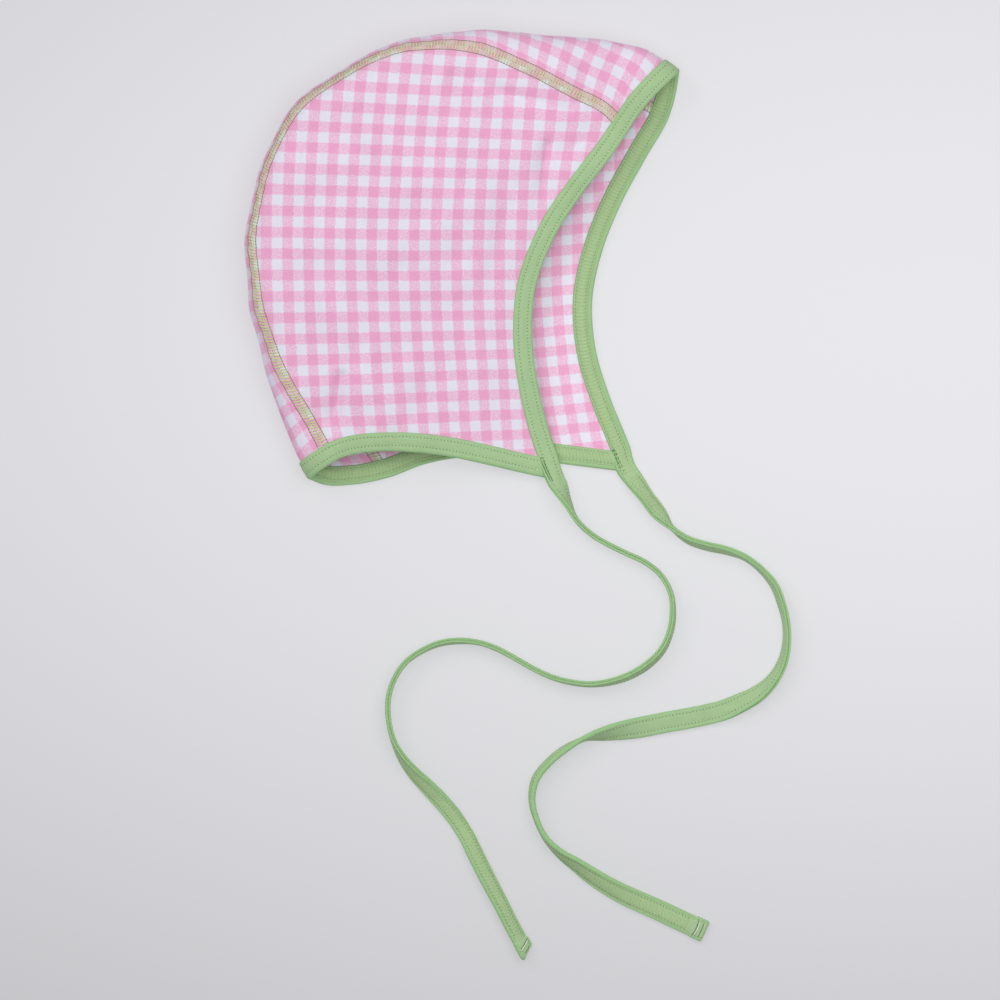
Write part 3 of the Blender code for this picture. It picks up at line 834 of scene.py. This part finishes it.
def newObject(name, points, faces, material):
    mesh = bpy.data.meshes.new(name)
    mesh.from_pydata([tuple(p) for p in points], [], [tuple(f) for f in faces])
    mesh.materials.append(material)
    piece = bpy.data.objects.new(name, mesh)
    bpy.context.scene.collection.objects.link(piece)
    return piece


def activate(piece):
    for item in bpy.context.selected_objects:
        item.select_set(False)
    piece.select_set(True)
    bpy.context.view_layer.objects.active = piece


def setUv(piece, label, values):  # values for each face corner
    layer = piece.data.uv_layers.new(name=label)
    layer.data.foreach_set("uv", np.asarray(values, float).ravel())


def cornerVertices(piece):
    found = np.zeros(len(piece.data.loops), int)
    piece.data.loops.foreach_get("vertex_index", found)
    return found


def clothPanel(name, columns, checks, node, material=ginghamCloth):
    part = grid[:, columns]
    piece = newObject(name, part.reshape(-1, 3), gridFaces(*part.shape[:2]), material)
    setUv(piece, "checks", checks.reshape(-1, 2)[cornerVertices(piece)])
    wall = piece.modifiers.new("cloth", "SOLIDIFY")
    wall.thickness = cloth["thickness"]
    wall.offset = 0
    wall.use_even_offset = False
    activate(piece)
    bpy.ops.object.modifier_apply(modifier=wall.name)
    bpy.ops.object.shade_smooth_by_angle(angle=cloth["smoothAngle"])
    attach(piece, "root")
    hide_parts(node)


rightChecks = {"pitchX": 0.00889, "pitchY": 0.00857, "startX": 1.90, "startY": -1.73,
               "bow": 0.54, "fan": 0.18, "swing": 0.51, "unit": 0.08}
leftChecks = {"pitchX": 0.0088, "pitchY": 0.00837, "startX": 0.0515, "startY": 0.0042,
              "bow": 1.44, "bowFrom": 0.004, "lean": 0.105}
centreChecks = {"pitchAcross": 0.0090, "pitchAlong": 0.00907, "startAcross": 0.0070,
                "startAlong": 0.2854, "lean": 0.2}
checkPulls = table(  # where creases draw the upper side's checks aside, in metres and checks
    "x       y       reachX reachY  across down",
    (-0.0448, -0.0609, 0.0070, 0.0140, 0.26, 0.04),
    (0.0485, 0.0336, 0.0100, 0.0150, 0.16, 0.05),
    (0.0317, 0.0735, 0.0160, 0.0070, 0.05, 0.22),
    (0.0650, 0.0640, 0.0090, 0.0090, -0.14, 0.10),
    (-0.0200, 0.0100, 0.0300, 0.0200, 0.06, -0.07),
    (0.0100, -0.0450, 0.0250, 0.0150, -0.07, 0.06),
)


def rightCheckPlaces(points):
    x, y = points[..., 0], points[..., 1]
    across, down = x / rightChecks["unit"], y / rightChecks["unit"]
    i = rightChecks["startX"] + x / rightChecks["pitchX"] - rightChecks["bow"] * down**2
    i -= rightChecks["fan"] * across * down
    j = rightChecks["startY"] - y / rightChecks["pitchY"] - rightChecks["swing"] * across * down
    for pullX, pullY, reachX, reachY, moveAcross, moveDown in zip(*checkPulls.values()):
        near = np.exp(-(((x - pullX) / reachX) ** 2) - ((y - pullY) / reachY) ** 2)
        i += moveAcross * near
        j += moveDown * near
    return np.stack([i, j], -1)


def leftCheckPlaces(points):
    x, y = points[..., 0] - leftChecks["startX"], points[..., 1]
    below = np.maximum(leftChecks["bowFrom"] - y, 0)
    i = (x - leftChecks["bow"] * below**2) / leftChecks["pitchX"]
    j = (leftChecks["startY"] - y + leftChecks["lean"] * x) / leftChecks["pitchY"]
    return np.stack([i, j], -1)


def centreCheckPlaces(columns):
    across = arc[:, columns] - arc[:, rightColumn][:, None] - centreChecks["startAcross"]
    along = lengthAlong(grid[:, rightColumn])[:, None] + centreChecks["lean"] * across
    j = (along - centreChecks["startAlong"]) / centreChecks["pitchAlong"]
    return np.stack([across / centreChecks["pitchAcross"], j], -1)


rightSpan = slice(0, rightColumn + 1)
centreSpan = slice(rightColumn, leftColumn + 1)
leftSpan = slice(leftColumn, None)
clothPanel("right_panel_cloth", rightSpan, rightCheckPlaces(grid[:, rightSpan]),
           "side_panel_right")
clothPanel("centre_panel_cloth", centreSpan, centreCheckPlaces(centreSpan), "centre_panel")
clothPanel("left_panel_cloth", leftSpan, leftCheckPlaces(grid[:, leftSpan]),
           "side_panel_left", paintedLightGingham)
print("cloth panels made")

# Folded strips: the outer and the reverse half of a section, each from the rim to the open edge
# and back into the fold. Heights are shares of half the strip's thickness, stitch is 1 where a
# needle row pulls the cloth in, and fold is 1 where the brighter green of the fold's edge shows,
# partly the fold's own colour and partly painted shading where the fold curves over.
bindingOuter = table(
    "share height stitch fold",
    (0.000, 0.00, 0, 1),
    (0.006, 0.34, 0, 1),
    (0.035, 0.68, 0, 0.8),
    (0.100, 0.90, 0, 0.2),
    (0.185, 0.93, 0, 0),
    (0.262, 0.89, 1, 0),
    (0.335, 0.95, 0, 0),
    (0.430, 1.00, 0, 0),
    (0.500, 1.00, 0, 0),
    (0.570, 1.00, 0, 0),
    (0.665, 0.95, 0, 0),
    (0.738, 0.89, 1, 0),
    (0.812, 0.93, 0, 0),
    (0.890, 0.89, 0, 0.2),
    (0.962, 0.78, 0, 0.8),
    (0.996, 0.56, 0, 1),
    (0.990, 0.34, 0, 1),
    (0.600, 0.32, 0, 0),
    (0.160, 0.32, 0, 0),
)
bindingReverse = table(
    "share height stitch fold",
    (0.000, 0.00, 0, 1),
    (0.006, 0.36, 0, 1),
    (0.035, 0.72, 0, 0.8),
    (0.090, 0.96, 0, 0.5),
    (0.150, 0.96, 0, 0.5),
    (0.188, 0.66, 0, 0.3),
    (0.214, 0.64, 0, 0),
    (0.245, 0.87, 0, 0),
    (0.320, 0.85, 1, 0),
    (0.390, 0.94, 0, 0),
    (0.500, 0.97, 0, 0),
    (0.640, 0.97, 0, 0),
    (0.790, 0.92, 0, 0),
    (0.862, 0.85, 1, 0),
    (0.925, 0.87, 0, 0.3),
    (0.994, 0.54, 0, 1),
    (0.990, 0.34, 0, 1),
    (0.600, 0.32, 0, 0),
    (0.160, 0.32, 0, 0),
)
tieOuter = table(
    "share height stitch fold",
    (0.000, 0.00, 0, 1),
    (0.008, 0.32, 0, 1),
    (0.035, 0.66, 0, 0.8),
    (0.095, 0.90, 0, 0.2),
    (0.165, 0.94, 0, 0),
    (0.230, 0.89, 1, 0),
    (0.295, 0.95, 0, 0),
    (0.400, 1.00, 0, 0),
    (0.500, 1.00, 0, 0),
    (0.600, 1.00, 0, 0),
    (0.705, 0.95, 0, 0),
    (0.770, 0.89, 1, 0),
    (0.835, 0.94, 0, 0),
    (0.900, 0.93, 0, 0.2),
    (0.970, 0.88, 0, 0.9),
    (1.000, 0.62, 0, 1),
    (0.998, 0.38, 0, 0.8),
    (0.970, 0.16, 0, 0.3),
    (0.920, 0.04, 0, 0),
)
tieReverse = table(
    "share height stitch fold",
    (0.000, 0.00, 0, 1),
    (0.008, 0.34, 0, 1),
    (0.035, 0.70, 0, 0.8),
    (0.080, 0.95, 0, 0.6),
    (0.125, 0.95, 0, 0.6),
    (0.155, 0.78, 0, 0.3),
    (0.180, 0.78, 0, 0),
    (0.225, 0.92, 1, 0),
    (0.300, 0.97, 0, 0),
    (0.420, 1.00, 0, 0),
    (0.560, 1.00, 0, 0),
    (0.720, 0.97, 0, 0),
    (0.775, 0.92, 1, 0),
    (0.845, 0.86, 0, 0),
    (0.880, 0.60, 0, 0.2),
    (0.920, 0.90, 0, 0.8),
    (0.985, 0.74, 0, 1),
    (0.990, 0.36, 0, 0.8),
    (0.945, 0.04, 0, 0),
)
sewing = {  # length, radius and depth of the threads, the depth in dents
    "pitch": 0.001455,
    "dent": 0.00026,
    "needle": (0.00066, 0.00029, 0.95),  # the thread down in each hole
    "bridge": (0.00078, 0.00017, 0.10),  # the thread that crosses to the next one
    "reverse": (0.00080, 0.00019, 0.30),
    "looperRadius": 0.00013,
    "looperRise": 0.00001,
    "looperLevel": (0.90, 0.08),  # at its ends and how much more at its middle, as for stitchLevel
    "looperPhase": 0.75,
    "stitchLevel": 0.89,  # where the needle rows lie, as a share of half the strip's thickness
    "reverseLean": 0.06,
    "bead": (3, 0.06),  # how late a thread narrows towards its ends, and its least breadth squared
    "barRise": 0.3,  # how far the end bars stand out, in radii
    "points": {"stitch": 4, "looper": 5, "tack": 5, "bar": 7, "rung": 7},  # along each thread
    "sides": 4,
    "face": (0.262, 0.738),
    "neck": (0.330, 0.785),
    "bindingReverse": (0.320, 0.862),
    "tieOuter": (0.230, 0.770),
    "tieReverse": (0.225, 0.775),
}


def fullSection(outer, reverse):  # from the fold's inside round the rim to the fold's inside again
    ring = {name: np.append(outer[name][::-1], reverse[name][1:]) for name in ("share", "stitch", "fold")}
    ring["height"] = np.append(outer["height"][::-1], -reverse["height"][1:])
    ring["reverse"] = np.append(np.zeros(len(outer["share"])), np.ones(len(reverse["share"]) - 1))
    return ring


def stripHeights(at, ring, thickness):
    pull = sewing["dent"] * (0.5 - 0.5 * np.cos(2 * math.pi * at / sewing["pitch"]))[:, None]
    heights = ring["height"] * thickness[:, None] / 2
    return heights - np.sign(ring["height"]) * ring["stitch"] * pull


def aboveFloor(points):
    points[..., 2] = np.maximum(points[..., 2], floorGap)
    return points


def stripPoints(strip, shares, heights):
    stations = np.broadcast_to(np.arange(len(heights), dtype=float)[:, None], heights.shape)
    return aboveFloor(onStrip(strip, stations, np.broadcast_to(shares, heights.shape), heights)[0])


def loopMesh(name, points, at, ring, node):  # closed rings of green cloth, joined and capped
    count, around = points.shape[:2]
    index = np.arange(count * around).reshape(count, around)
    nextIndex = np.roll(index, -1, axis=1)
    quads = np.stack([index[:-1], nextIndex[:-1], nextIndex[1:], index[1:]], -1).reshape(-1, 4)
    faces = [tuple(q) for q in quads] + [tuple(index[0][::-1]), tuple(index[-1])]
    piece = newObject(name, points.reshape(-1, 3), faces, greenCloth)
    closing = 0.0005  # from a ring's last point to its first one
    girth = lengthAlong(points[count // 2])
    girth = np.append(girth, girth[-1] + closing)
    uv = np.stack([np.repeat(girth[None], count, 0), np.repeat(at[:, None], around + 1, 1)], -1)
    quadUv = np.stack([uv[:-1, :-1], uv[:-1, 1:], uv[1:, 1:], uv[1:, :-1]], 2).reshape(-1, 2)
    setUv(piece, "strip", np.concatenate([quadUv, uv[0, :-1][::-1], uv[-1, :-1]]))
    for label in ("reverse", "fold"):
        layer = piece.data.attributes.new(label, "FLOAT", "POINT")
        layer.data.foreach_set("value", np.tile(ring[label], count).astype(np.float32))
    shape = bmesh.new()
    shape.from_mesh(piece.data)
    bmesh.ops.recalc_face_normals(shape, faces=shape.faces)
    shape.to_mesh(piece.data)
    shape.free()
    activate(piece)
    bpy.ops.object.shade_smooth_by_angle(angle=binding["smoothAngle"])
    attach(piece, "root")
    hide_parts(node)
    return piece


def bindingStrip(frames):
    across = [acrossBinding(item) for item in frames]
    return makeStrip(np.array([a for a, b in across]), np.array([b for a, b in across]), binding["stations"])


# Face strip, which turns into the ties at both ends
faceStrip = bindingStrip([corners[0], *faceFrames, corners[1]])
centrePlace = binding["placesAcross"] // 2
total = faceStrip["at"][-1]
blendStart = 1 - ease(faceStrip["at"] / binding["blend"])
blendEnd = 1 - ease((total - faceStrip["at"]) / binding["blend"])
for blendIn, tieHere, station in ((blendStart, rightTie, 0), (blendEnd, leftTie, -1)):
    heading = unit(tieHere["middle"][1, centrePlace] - tieHere["middle"][0, centrePlace])
    distance = np.abs(faceStrip["at"] - faceStrip["at"][station])[:, None, None]
    target = tieHere["middle"][0][None] - heading * distance
    share = blendIn[:, None, None]
    faceStrip["middle"] = faceStrip["middle"] * (1 - share) + target * share
    faceStrip["normal"] = unit(faceStrip["normal"] * (1 - share) + tieHere["normal"][0][None] * share)
likeTie = np.maximum(blendStart, blendEnd)[:, None]
bindingRing, tieRing = fullSection(bindingOuter, bindingReverse), fullSection(tieOuter, tieReverse)
faceStrip["thick"] = binding["thickness"] + (tie["thickness"] - binding["thickness"]) * likeTie[:, 0]
shares = bindingRing["share"] * (1 - likeTie) + tieRing["share"] * likeTie
heights = stripHeights(faceStrip["at"], bindingRing, faceStrip["thick"]) * (1 - likeTie)
heights += stripHeights(faceStrip["at"], tieRing, faceStrip["thick"]) * likeTie
piece = loopMesh("face_binding_strip", stripPoints(faceStrip, shares, heights), faceStrip["at"],
                 bindingRing, "face_binding")
print("face strip", round(total, 4))

# Neck strip, cut off under the face strip at each corner
neckStrip = bindingStrip(neckFrames)
limit = binding["reach"] - binding["tuck"]
depths = [(neckStrip["middle"] - stop[0]) @ inwardOf(stop) for stop in corners]
first, last = np.flatnonzero((depths[0].min(1) > limit) & (depths[1].min(1) > limit))[[0, -1]]
cutEnds = []
for station, stop, depth in ((first, corners[0], depths[0]), (last, corners[1], depths[1])):
    before, after = max(station - 1, first), min(station + 1, last)
    heading = unit(neckStrip["middle"][after] - neckStrip["middle"][before])
    slide = (limit - depth[station]) / (heading @ inwardOf(stop))
    cutEnds.append(neckStrip["middle"][station] + slide[:, None] * heading)
kept = np.clip(np.arange(first - 1, last + 2), first, last)
middle = neckStrip["middle"][kept]
middle[0], middle[-1] = cutEnds
neckStrip = {"at": lengthAlong(middle[:, centrePlace]), "middle": middle, "normal": neckStrip["normal"][kept]}
total = neckStrip["at"][-1]
toEnd = np.minimum(neckStrip["at"], total - neckStrip["at"])
thin = binding["endThin"]
neckStrip["thick"] = binding["thickness"] * (thin + (1 - thin) * ease(toEnd / binding["endRun"]))
neckShare = np.interp(bindingOuter["share"], (0, *sewing["face"], 1), (0, *sewing["neck"], 1))
neckRing = fullSection({**bindingOuter, "share": neckShare}, bindingReverse)
heights = stripHeights(neckStrip["at"], neckRing, neckStrip["thick"])
piece = loopMesh("neck_binding_strip", stripPoints(neckStrip, neckRing["share"], heights), neckStrip["at"],
                 neckRing, "neck_binding")
print("neck strip", round(total, 4))


# Ties and their ends
def makeTie(name, strip, node):
    strip["thick"] = np.full(len(strip["at"]), tie["thickness"])
    heights = stripHeights(strip["at"], tieRing, strip["thick"])
    return loopMesh(name, stripPoints(strip, tieRing["share"], heights), strip["at"], tieRing, node)


endShape = table(  # along a turned-over end: how far, how thick and how wide it is there
    "run  thick narrow",
    (0.00, 0.72, 0.985),
    (0.03, 0.92, 0.998),
    (0.08, 1, 1),
    (0.30, 1, 1),
    (0.55, 1, 1),
    (0.74, 1, 1),
    (0.85, 0.98, 0.99),
    (0.92, 0.90, 0.96),
    (0.97, 0.74, 0.90),
    (1.00, 0.40, 0.80),
)


def makeTieEnd(name, end, slant, length, node):
    point, ahead, across, through, width = end
    side = (0.5 - tieRing["share"]) * (width + 2 * tie["endOverhang"])
    lean = side * math.tan(slant)
    lean = lean - lean.min()
    level = (tie["endThickness"] - tie["thickness"]) / 2 * np.sign(through[2])
    rings = []
    for u, thick, narrow in zip(*endShape.values()):
        run = tie["endStart"] + u * (length + lean)
        ring = point + ahead * run[:, None] + across * (side * narrow)[:, None]
        rings.append(ring + through * (level + tieRing["height"] * thick * tie["endThickness"] / 2)[:, None])
    return loopMesh(name, aboveFloor(np.array(rings)), endShape["run"] * length, tieRing, node)


def threadTubes(name, centre, normal, radius, material):  # many short threads in one mesh
    sides = sewing["sides"]
    tangent = unit(np.gradient(centre, axis=1))
    side = unit(np.cross(tangent, normal))
    up = np.cross(side, tangent)
    count, along = centre.shape[:2]
    angle = 2 * math.pi * np.arange(sides) / sides
    ring = np.cos(angle)[:, None] * up[:, :, None] + np.sin(angle)[:, None] * side[:, :, None]
    points = aboveFloor(centre[:, :, None] + radius[None, :, None, None] * ring)
    index = np.arange(along * sides).reshape(along, sides)
    nextIndex = np.roll(index, -1, axis=1)
    quads = np.stack([index[:-1], index[1:], nextIndex[1:], nextIndex[:-1]], -1).reshape(-1, 4)
    start = (np.arange(count) * along * sides)[:, None, None]
    caps = np.stack([index[0], index[-1][::-1]])
    faces = [tuple(f) for part in (quads, caps) for f in (part[None] + start).reshape(-1, part.shape[1])]
    piece = newObject(name, points.reshape(-1, 3), faces, material)
    piece.data.shade_smooth()
    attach(piece, "root")
    return piece


def bead(length):  # how a stitch swells from its two ends
    power, least = sewing["bead"]
    return np.sqrt(np.clip(1 - np.abs(np.linspace(-1, 1, length)) ** power, least, 1))


def threadRows(name, found, radius, material):  # several rows, or single threads, as one mesh
    centre, up = (np.concatenate([item[k] for item in found]) for k in (0, 1))
    return threadTubes(name, centre, up, radius * bead(centre.shape[1]), material)


def onFace(strip, run, share, side, offset, level=1.0):  # places on a face: side 1 outer, -1 reverse
    station = np.interp(run, strip["at"], np.arange(len(strip["at"])))
    half = np.interp(run, strip["at"], strip["thick"]) / 2
    return onStrip(strip, station, np.broadcast_to(share, run.shape), side * (half * level + offset))


def stitchRow(strip, share, side, offset, length, phase, lean=0.0, pitch=sewing["pitch"],
              level=sewing["stitchLevel"]):
    first = np.arange(1, math.floor(strip["at"][-1] / pitch) - 1) * pitch
    u = np.linspace(-0.5, 0.5, sewing["points"]["stitch"])
    run = first[:, None] + (phase * pitch + u * length)[None]
    return onFace(strip, run, share + lean * u, side, offset, level)


def looperRungs(name, strip, shares):  # the reverse side's threads, to and fro
    pitch, (low, more) = sewing["pitch"], sewing["looperLevel"]
    starts = np.arange(0, math.floor(strip["at"][-1] / pitch) - 1) * pitch
    u = np.linspace(0, 1, sewing["points"]["looper"])
    share = shares[0] + (shares[1] - shares[0]) * u
    found = []
    for lean in (0.5, -0.5):
        run = starts[:, None] + pitch * (sewing["looperPhase"] + lean * (u - 0.5))[None]
        found.append(onFace(strip, run, share, -1, sewing["looperRise"], low + more * np.sin(math.pi * u)))
    return threadRows(name, found, sewing["looperRadius"], looperThread)


def dressStrip(name, strip, outer, reverse):
    pieces = []
    for kind, shares, side, phase, lean, material in (
        ("needle", outer, 1, 0.5, 0, needleThreadAndHoleShade),
        ("bridge", outer, 1, 0, 0, bridgeThread),
        ("reverse", reverse, -1, 0.5, sewing["reverseLean"], dotThread),
    ):
        length, radius, depth = sewing[kind]
        offset = -depth * sewing["dent"]
        found = [stitchRow(strip, share, side, offset, length, phase, lean) for share in shares]
        pieces.append(threadRows(name + "_" + kind + "_rows", found, radius, material))
    return [*pieces, looperRungs(name + "_looper_rows", strip, reverse)]


endBars = {  # radius, thread, and for each tie from side to side in half widths, place along and bow
    "white": (0.00028, whiteThread, (0.95, -0.82, 0.0026, 0.0003), (0.97, -0.95, 0.0017, 0.0005)),
    "dark": (0.00018, needleThreadAndHoleShade, (0.80, -0.80, 0.0019, 0.0003), (0.86, -0.86, 0.0010, 0.0005)),
    "grey": (0.00017, needleThreadAndHoleShade, (0.62, -0.62, 0.0047, 0.0002), (0.74, -0.76, 0.0036, 0.0002)),
}


def endThread(name, end, slant, line, radius, material):  # one thread across a tie's turned-over end
    point, ahead, across, through, width = end
    fromSide, toSide, start, bow = line
    upper = through * np.sign(through[2])
    level = tie["endThickness"] - tie["thickness"] / 2 + radius * sewing["barRise"]
    u = np.linspace(0, 1, sewing["points"]["bar"])
    side = (fromSide + (toSide - fromSide) * u) * width / 2
    run = start + side * math.tan(slant) + bow * np.sin(math.pi * u)
    centre = point + ahead * run[:, None] + across * side[:, None] + upper * level
    return threadRows(name, [(centre[None], np.broadcast_to(upper, centre[None].shape))], radius, material)


for which, (name, strip, line, end, node) in enumerate((
    ("right", rightTie, rightTieLine, rightTieEnd, "tie_right"),
    ("left", leftTie, leftTieLine, leftTieEnd, "tie_left"),
)):
    slant, endLength, name = tie[name + "Slant"], tie[name + "EndLength"], name + "_tie"
    piece = makeTie(name + "_strip", strip, node)
    tab = makeTieEnd(name + "_end_tab", end, slant, endLength, node.replace("tie_", "tie_end_"))
    pieces = [tab, *dressStrip(name, strip, sewing["tieOuter"], sewing["tieReverse"])]
    for bar, (radius, material, *bars) in endBars.items():
        pieces.append(endThread(name + "_end_" + bar + "_bar", end, slant, bars[which], radius, material))
dressStrip("face_binding", faceStrip, sewing["face"], sewing["bindingReverse"])
dressStrip("neck_binding", neckStrip, sewing["neck"], sewing["bindingReverse"])

# Bar tacks where the face strip leaves the cap: how far from its end, and at which shares across
cornerTack = {
    "near": ((0.0018, 0.0124, 0.775, 0.775), (0.0018, 0.0124, 0.885, 0.885), (0.0125, 0.0127, 0.76, 0.90)),
    "far": ((0.0133, 0.0044, 0.83, 0.66), (0.0133, 0.0044, 0.92, 0.78), (0.0034, 0.0030, 0.62, 0.78)),
    "dashes": 5,
    "dashSpan": (0.12, 0.88),
    "shortest": 0.001,  # a shorter line isn't dashed
    "radius": 0.00020,
    "rise": 0.00002,
    "level": 0.96,
}


def tacks(name, side, lines):  # threads from run to run and from share to share on the face strip
    found = []
    for start, stop, fromShare, toShare in lines:
        run, share = np.linspace((start, fromShare), (stop, toShare), sewing["points"]["tack"]).T
        found.append(onFace(faceStrip, run[None], share, side, cornerTack["rise"], cornerTack["level"]))
    threadRows(name, found, cornerTack["radius"], needleThreadAndHoleShade)


tacks("near_corner_tack", 1, cornerTack["near"])
dashes = []
for start, stop, fromShare, toShare in cornerTack["far"]:
    count = 1 if abs(start - stop) < cornerTack["shortest"] else cornerTack["dashes"]
    for k in range(count):
        ends = (k + np.array(cornerTack["dashSpan"])) / count
        dashes.append((*(faceStrip["at"][-1] - start - (stop - start) * ends),
                       *(fromShare + (toShare - fromShare) * ends)))
tacks("far_corner_tack", -1, dashes)
print("strips sewn")

# Flat seams: rungs across the join, a thread along each edge and dashes between, on both sides
seam = {
    "columns": 4,  # on each side of the seam's middle
    "stations": 0.0007,
    "pitch": 0.00130,
    "span": (0.07, 0.93),
    "slant": 0.16,
    "rungRadius": 0.00030,
    "rungRise": 0.00015,
    "rungArch": 0.00012,
    "edge": (0.00135, 0.00021, 0.00007),  # length, radius and rise
    "edgeBeyond": 0.01,
    "dash": (0.00055, 0.00013, 0.00005),
}


def flatSeam(name, column, node):
    columns = slice(column - seam["columns"], column + seam["columns"] + 1)
    strip = makeStrip(grid[:, columns], outward[:, columns], seam["stations"])
    strip["thick"] = np.full(len(strip["at"]), cloth["thickness"])
    pitch, slant, (first, last) = seam["pitch"], seam["slant"], seam["span"]
    starts = np.arange(1, math.floor(strip["at"][-1] / pitch) - 1) * pitch
    u = np.linspace(0, 1, sewing["points"]["rung"])
    run = starts[:, None] + pitch * slant * (2 * u - 1)[None]
    rise = seam["rungRise"] + seam["rungArch"] * np.sin(2 * math.pi * u) ** 2
    sides = ((first - seam["edgeBeyond"], -slant), (last + seam["edgeBeyond"], slant))
    pieces = []
    for side, label in ((1, "outside"), (-1, "inside")):

        def row(kind, share, phase):
            length, radius, offset = seam[kind]
            return stitchRow(strip, share, side, offset, length, phase, pitch=pitch, level=1)

        rungs = onFace(strip, run, first + (last - first) * u, side, rise)
        edges = [row("edge", share, phase) for share, phase in sides]
        pieces += [
            threadRows(name + "_rungs_" + label, [rungs], seam["rungRadius"], rungThread),
            threadRows(name + "_edges_" + label, edges, seam["edge"][1], oliveThreadAndEdgeShadow),
            threadRows(name + "_dashes_" + label, [row("dash", 0.5, 0.5)], seam["dash"][1], dashThread),
        ]
    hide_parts(node)


flatSeam("right_seam", rightColumn, "crown_seam_right")
flatSeam("left_seam", leftColumn, "crown_seam_left")
print("flat seams sewn")

# Floor and light
studio = {
    "floor": (0.25, 0.25, 0.257, 1),
    "mottle": {"Scale": 3, "Amount": 0.02},
    "roughness": 0.9,
    "sheen": 0.0,
    "tint": (1, 1, 1, 1),
    "glow": (0.550, 0.547, 0.567, 1),  # the part of the floor's brightness that no shadow reaches
    "glowCentre": (0.25, -0.03, 0),
    "glowFade": (0.76, 1.84, 1),  # how fast it falls off each way, for each metre
    "glowLeast": 0.2,
    "world": (0.97, 0.97, 1.0, 1),
    "worldStrength": 0.38,
    "lightPlace": (0.15, 0.06, 0.75),
    "lightAim": (0.15, 0.06, 0),
    "lightSize": 0.75,
    "lightPower": 4.0,
    "sideFrom": (-0.60, 0.50, 0.75),  # a weaker light from the upper left, which shows the creases
    "sideStrength": 0.62,
    "sideSpread": math.radians(30),
}
bpy.ops.mesh.primitive_plane_add(size=6, location=(0, 0, 0))
floor = bpy.context.object
floor.name = "studio_floor"
floorMaterial, floorTree, floorShader = newMaterial("studio_floor", studio)
washed(floorTree, floorShader, studio["floor"], studio["mottle"])
# painted pool of light on the floor: an emitted glow, brightest round glowCentre and fading each way,
# standing in for the lamp's fall-off and muting the shadows
away = vectorMaths(floorTree, "SUBTRACT", objectPlace(floorTree), studio["glowCentre"])[0]
away = vectorMaths(floorTree, "MULTIPLY", away, studio["glowFade"])[0]
away = vectorMaths(floorTree, "DOT_PRODUCT", away, away)["Value"]
paintedGlow = maths(floorTree, "POWER", studio["glowLeast"], away)
paintedGlow = maths(floorTree, "MULTIPLY", paintedGlow, 1 - studio["glowLeast"])
paintedGlow = maths(floorTree, "ADD", paintedGlow, studio["glowLeast"])
feed(floorTree, floorShader, {"Emission Color": studio["glow"], "Emission Strength": paintedGlow})
floor.data.materials.append(floorMaterial)

world = bpy.data.worlds.new("studio")
world.use_nodes = True
background = world.node_tree.nodes["Background"].inputs
feed(world.node_tree, background, {0: studio["world"], 1: studio["worldStrength"]})
bpy.context.scene.world = world


def addLight(kind, fromPlace, toPlace, strength):
    bpy.ops.object.light_add(type=kind, location=fromPlace)
    light = bpy.context.object
    light.rotation_euler = (Vector(toPlace) - Vector(fromPlace)).to_track_quat("-Z", "Y").to_euler()
    light.data.energy = strength
    return light.data


addLight("AREA", studio["lightPlace"], studio["lightAim"], studio["lightPower"]).size = studio["lightSize"]
addLight("SUN", studio["sideFrom"], (0, 0, 0), studio["sideStrength"]).angle = studio["sideSpread"]
bpy.context.scene.view_settings.view_transform = "Standard"
print("light set")
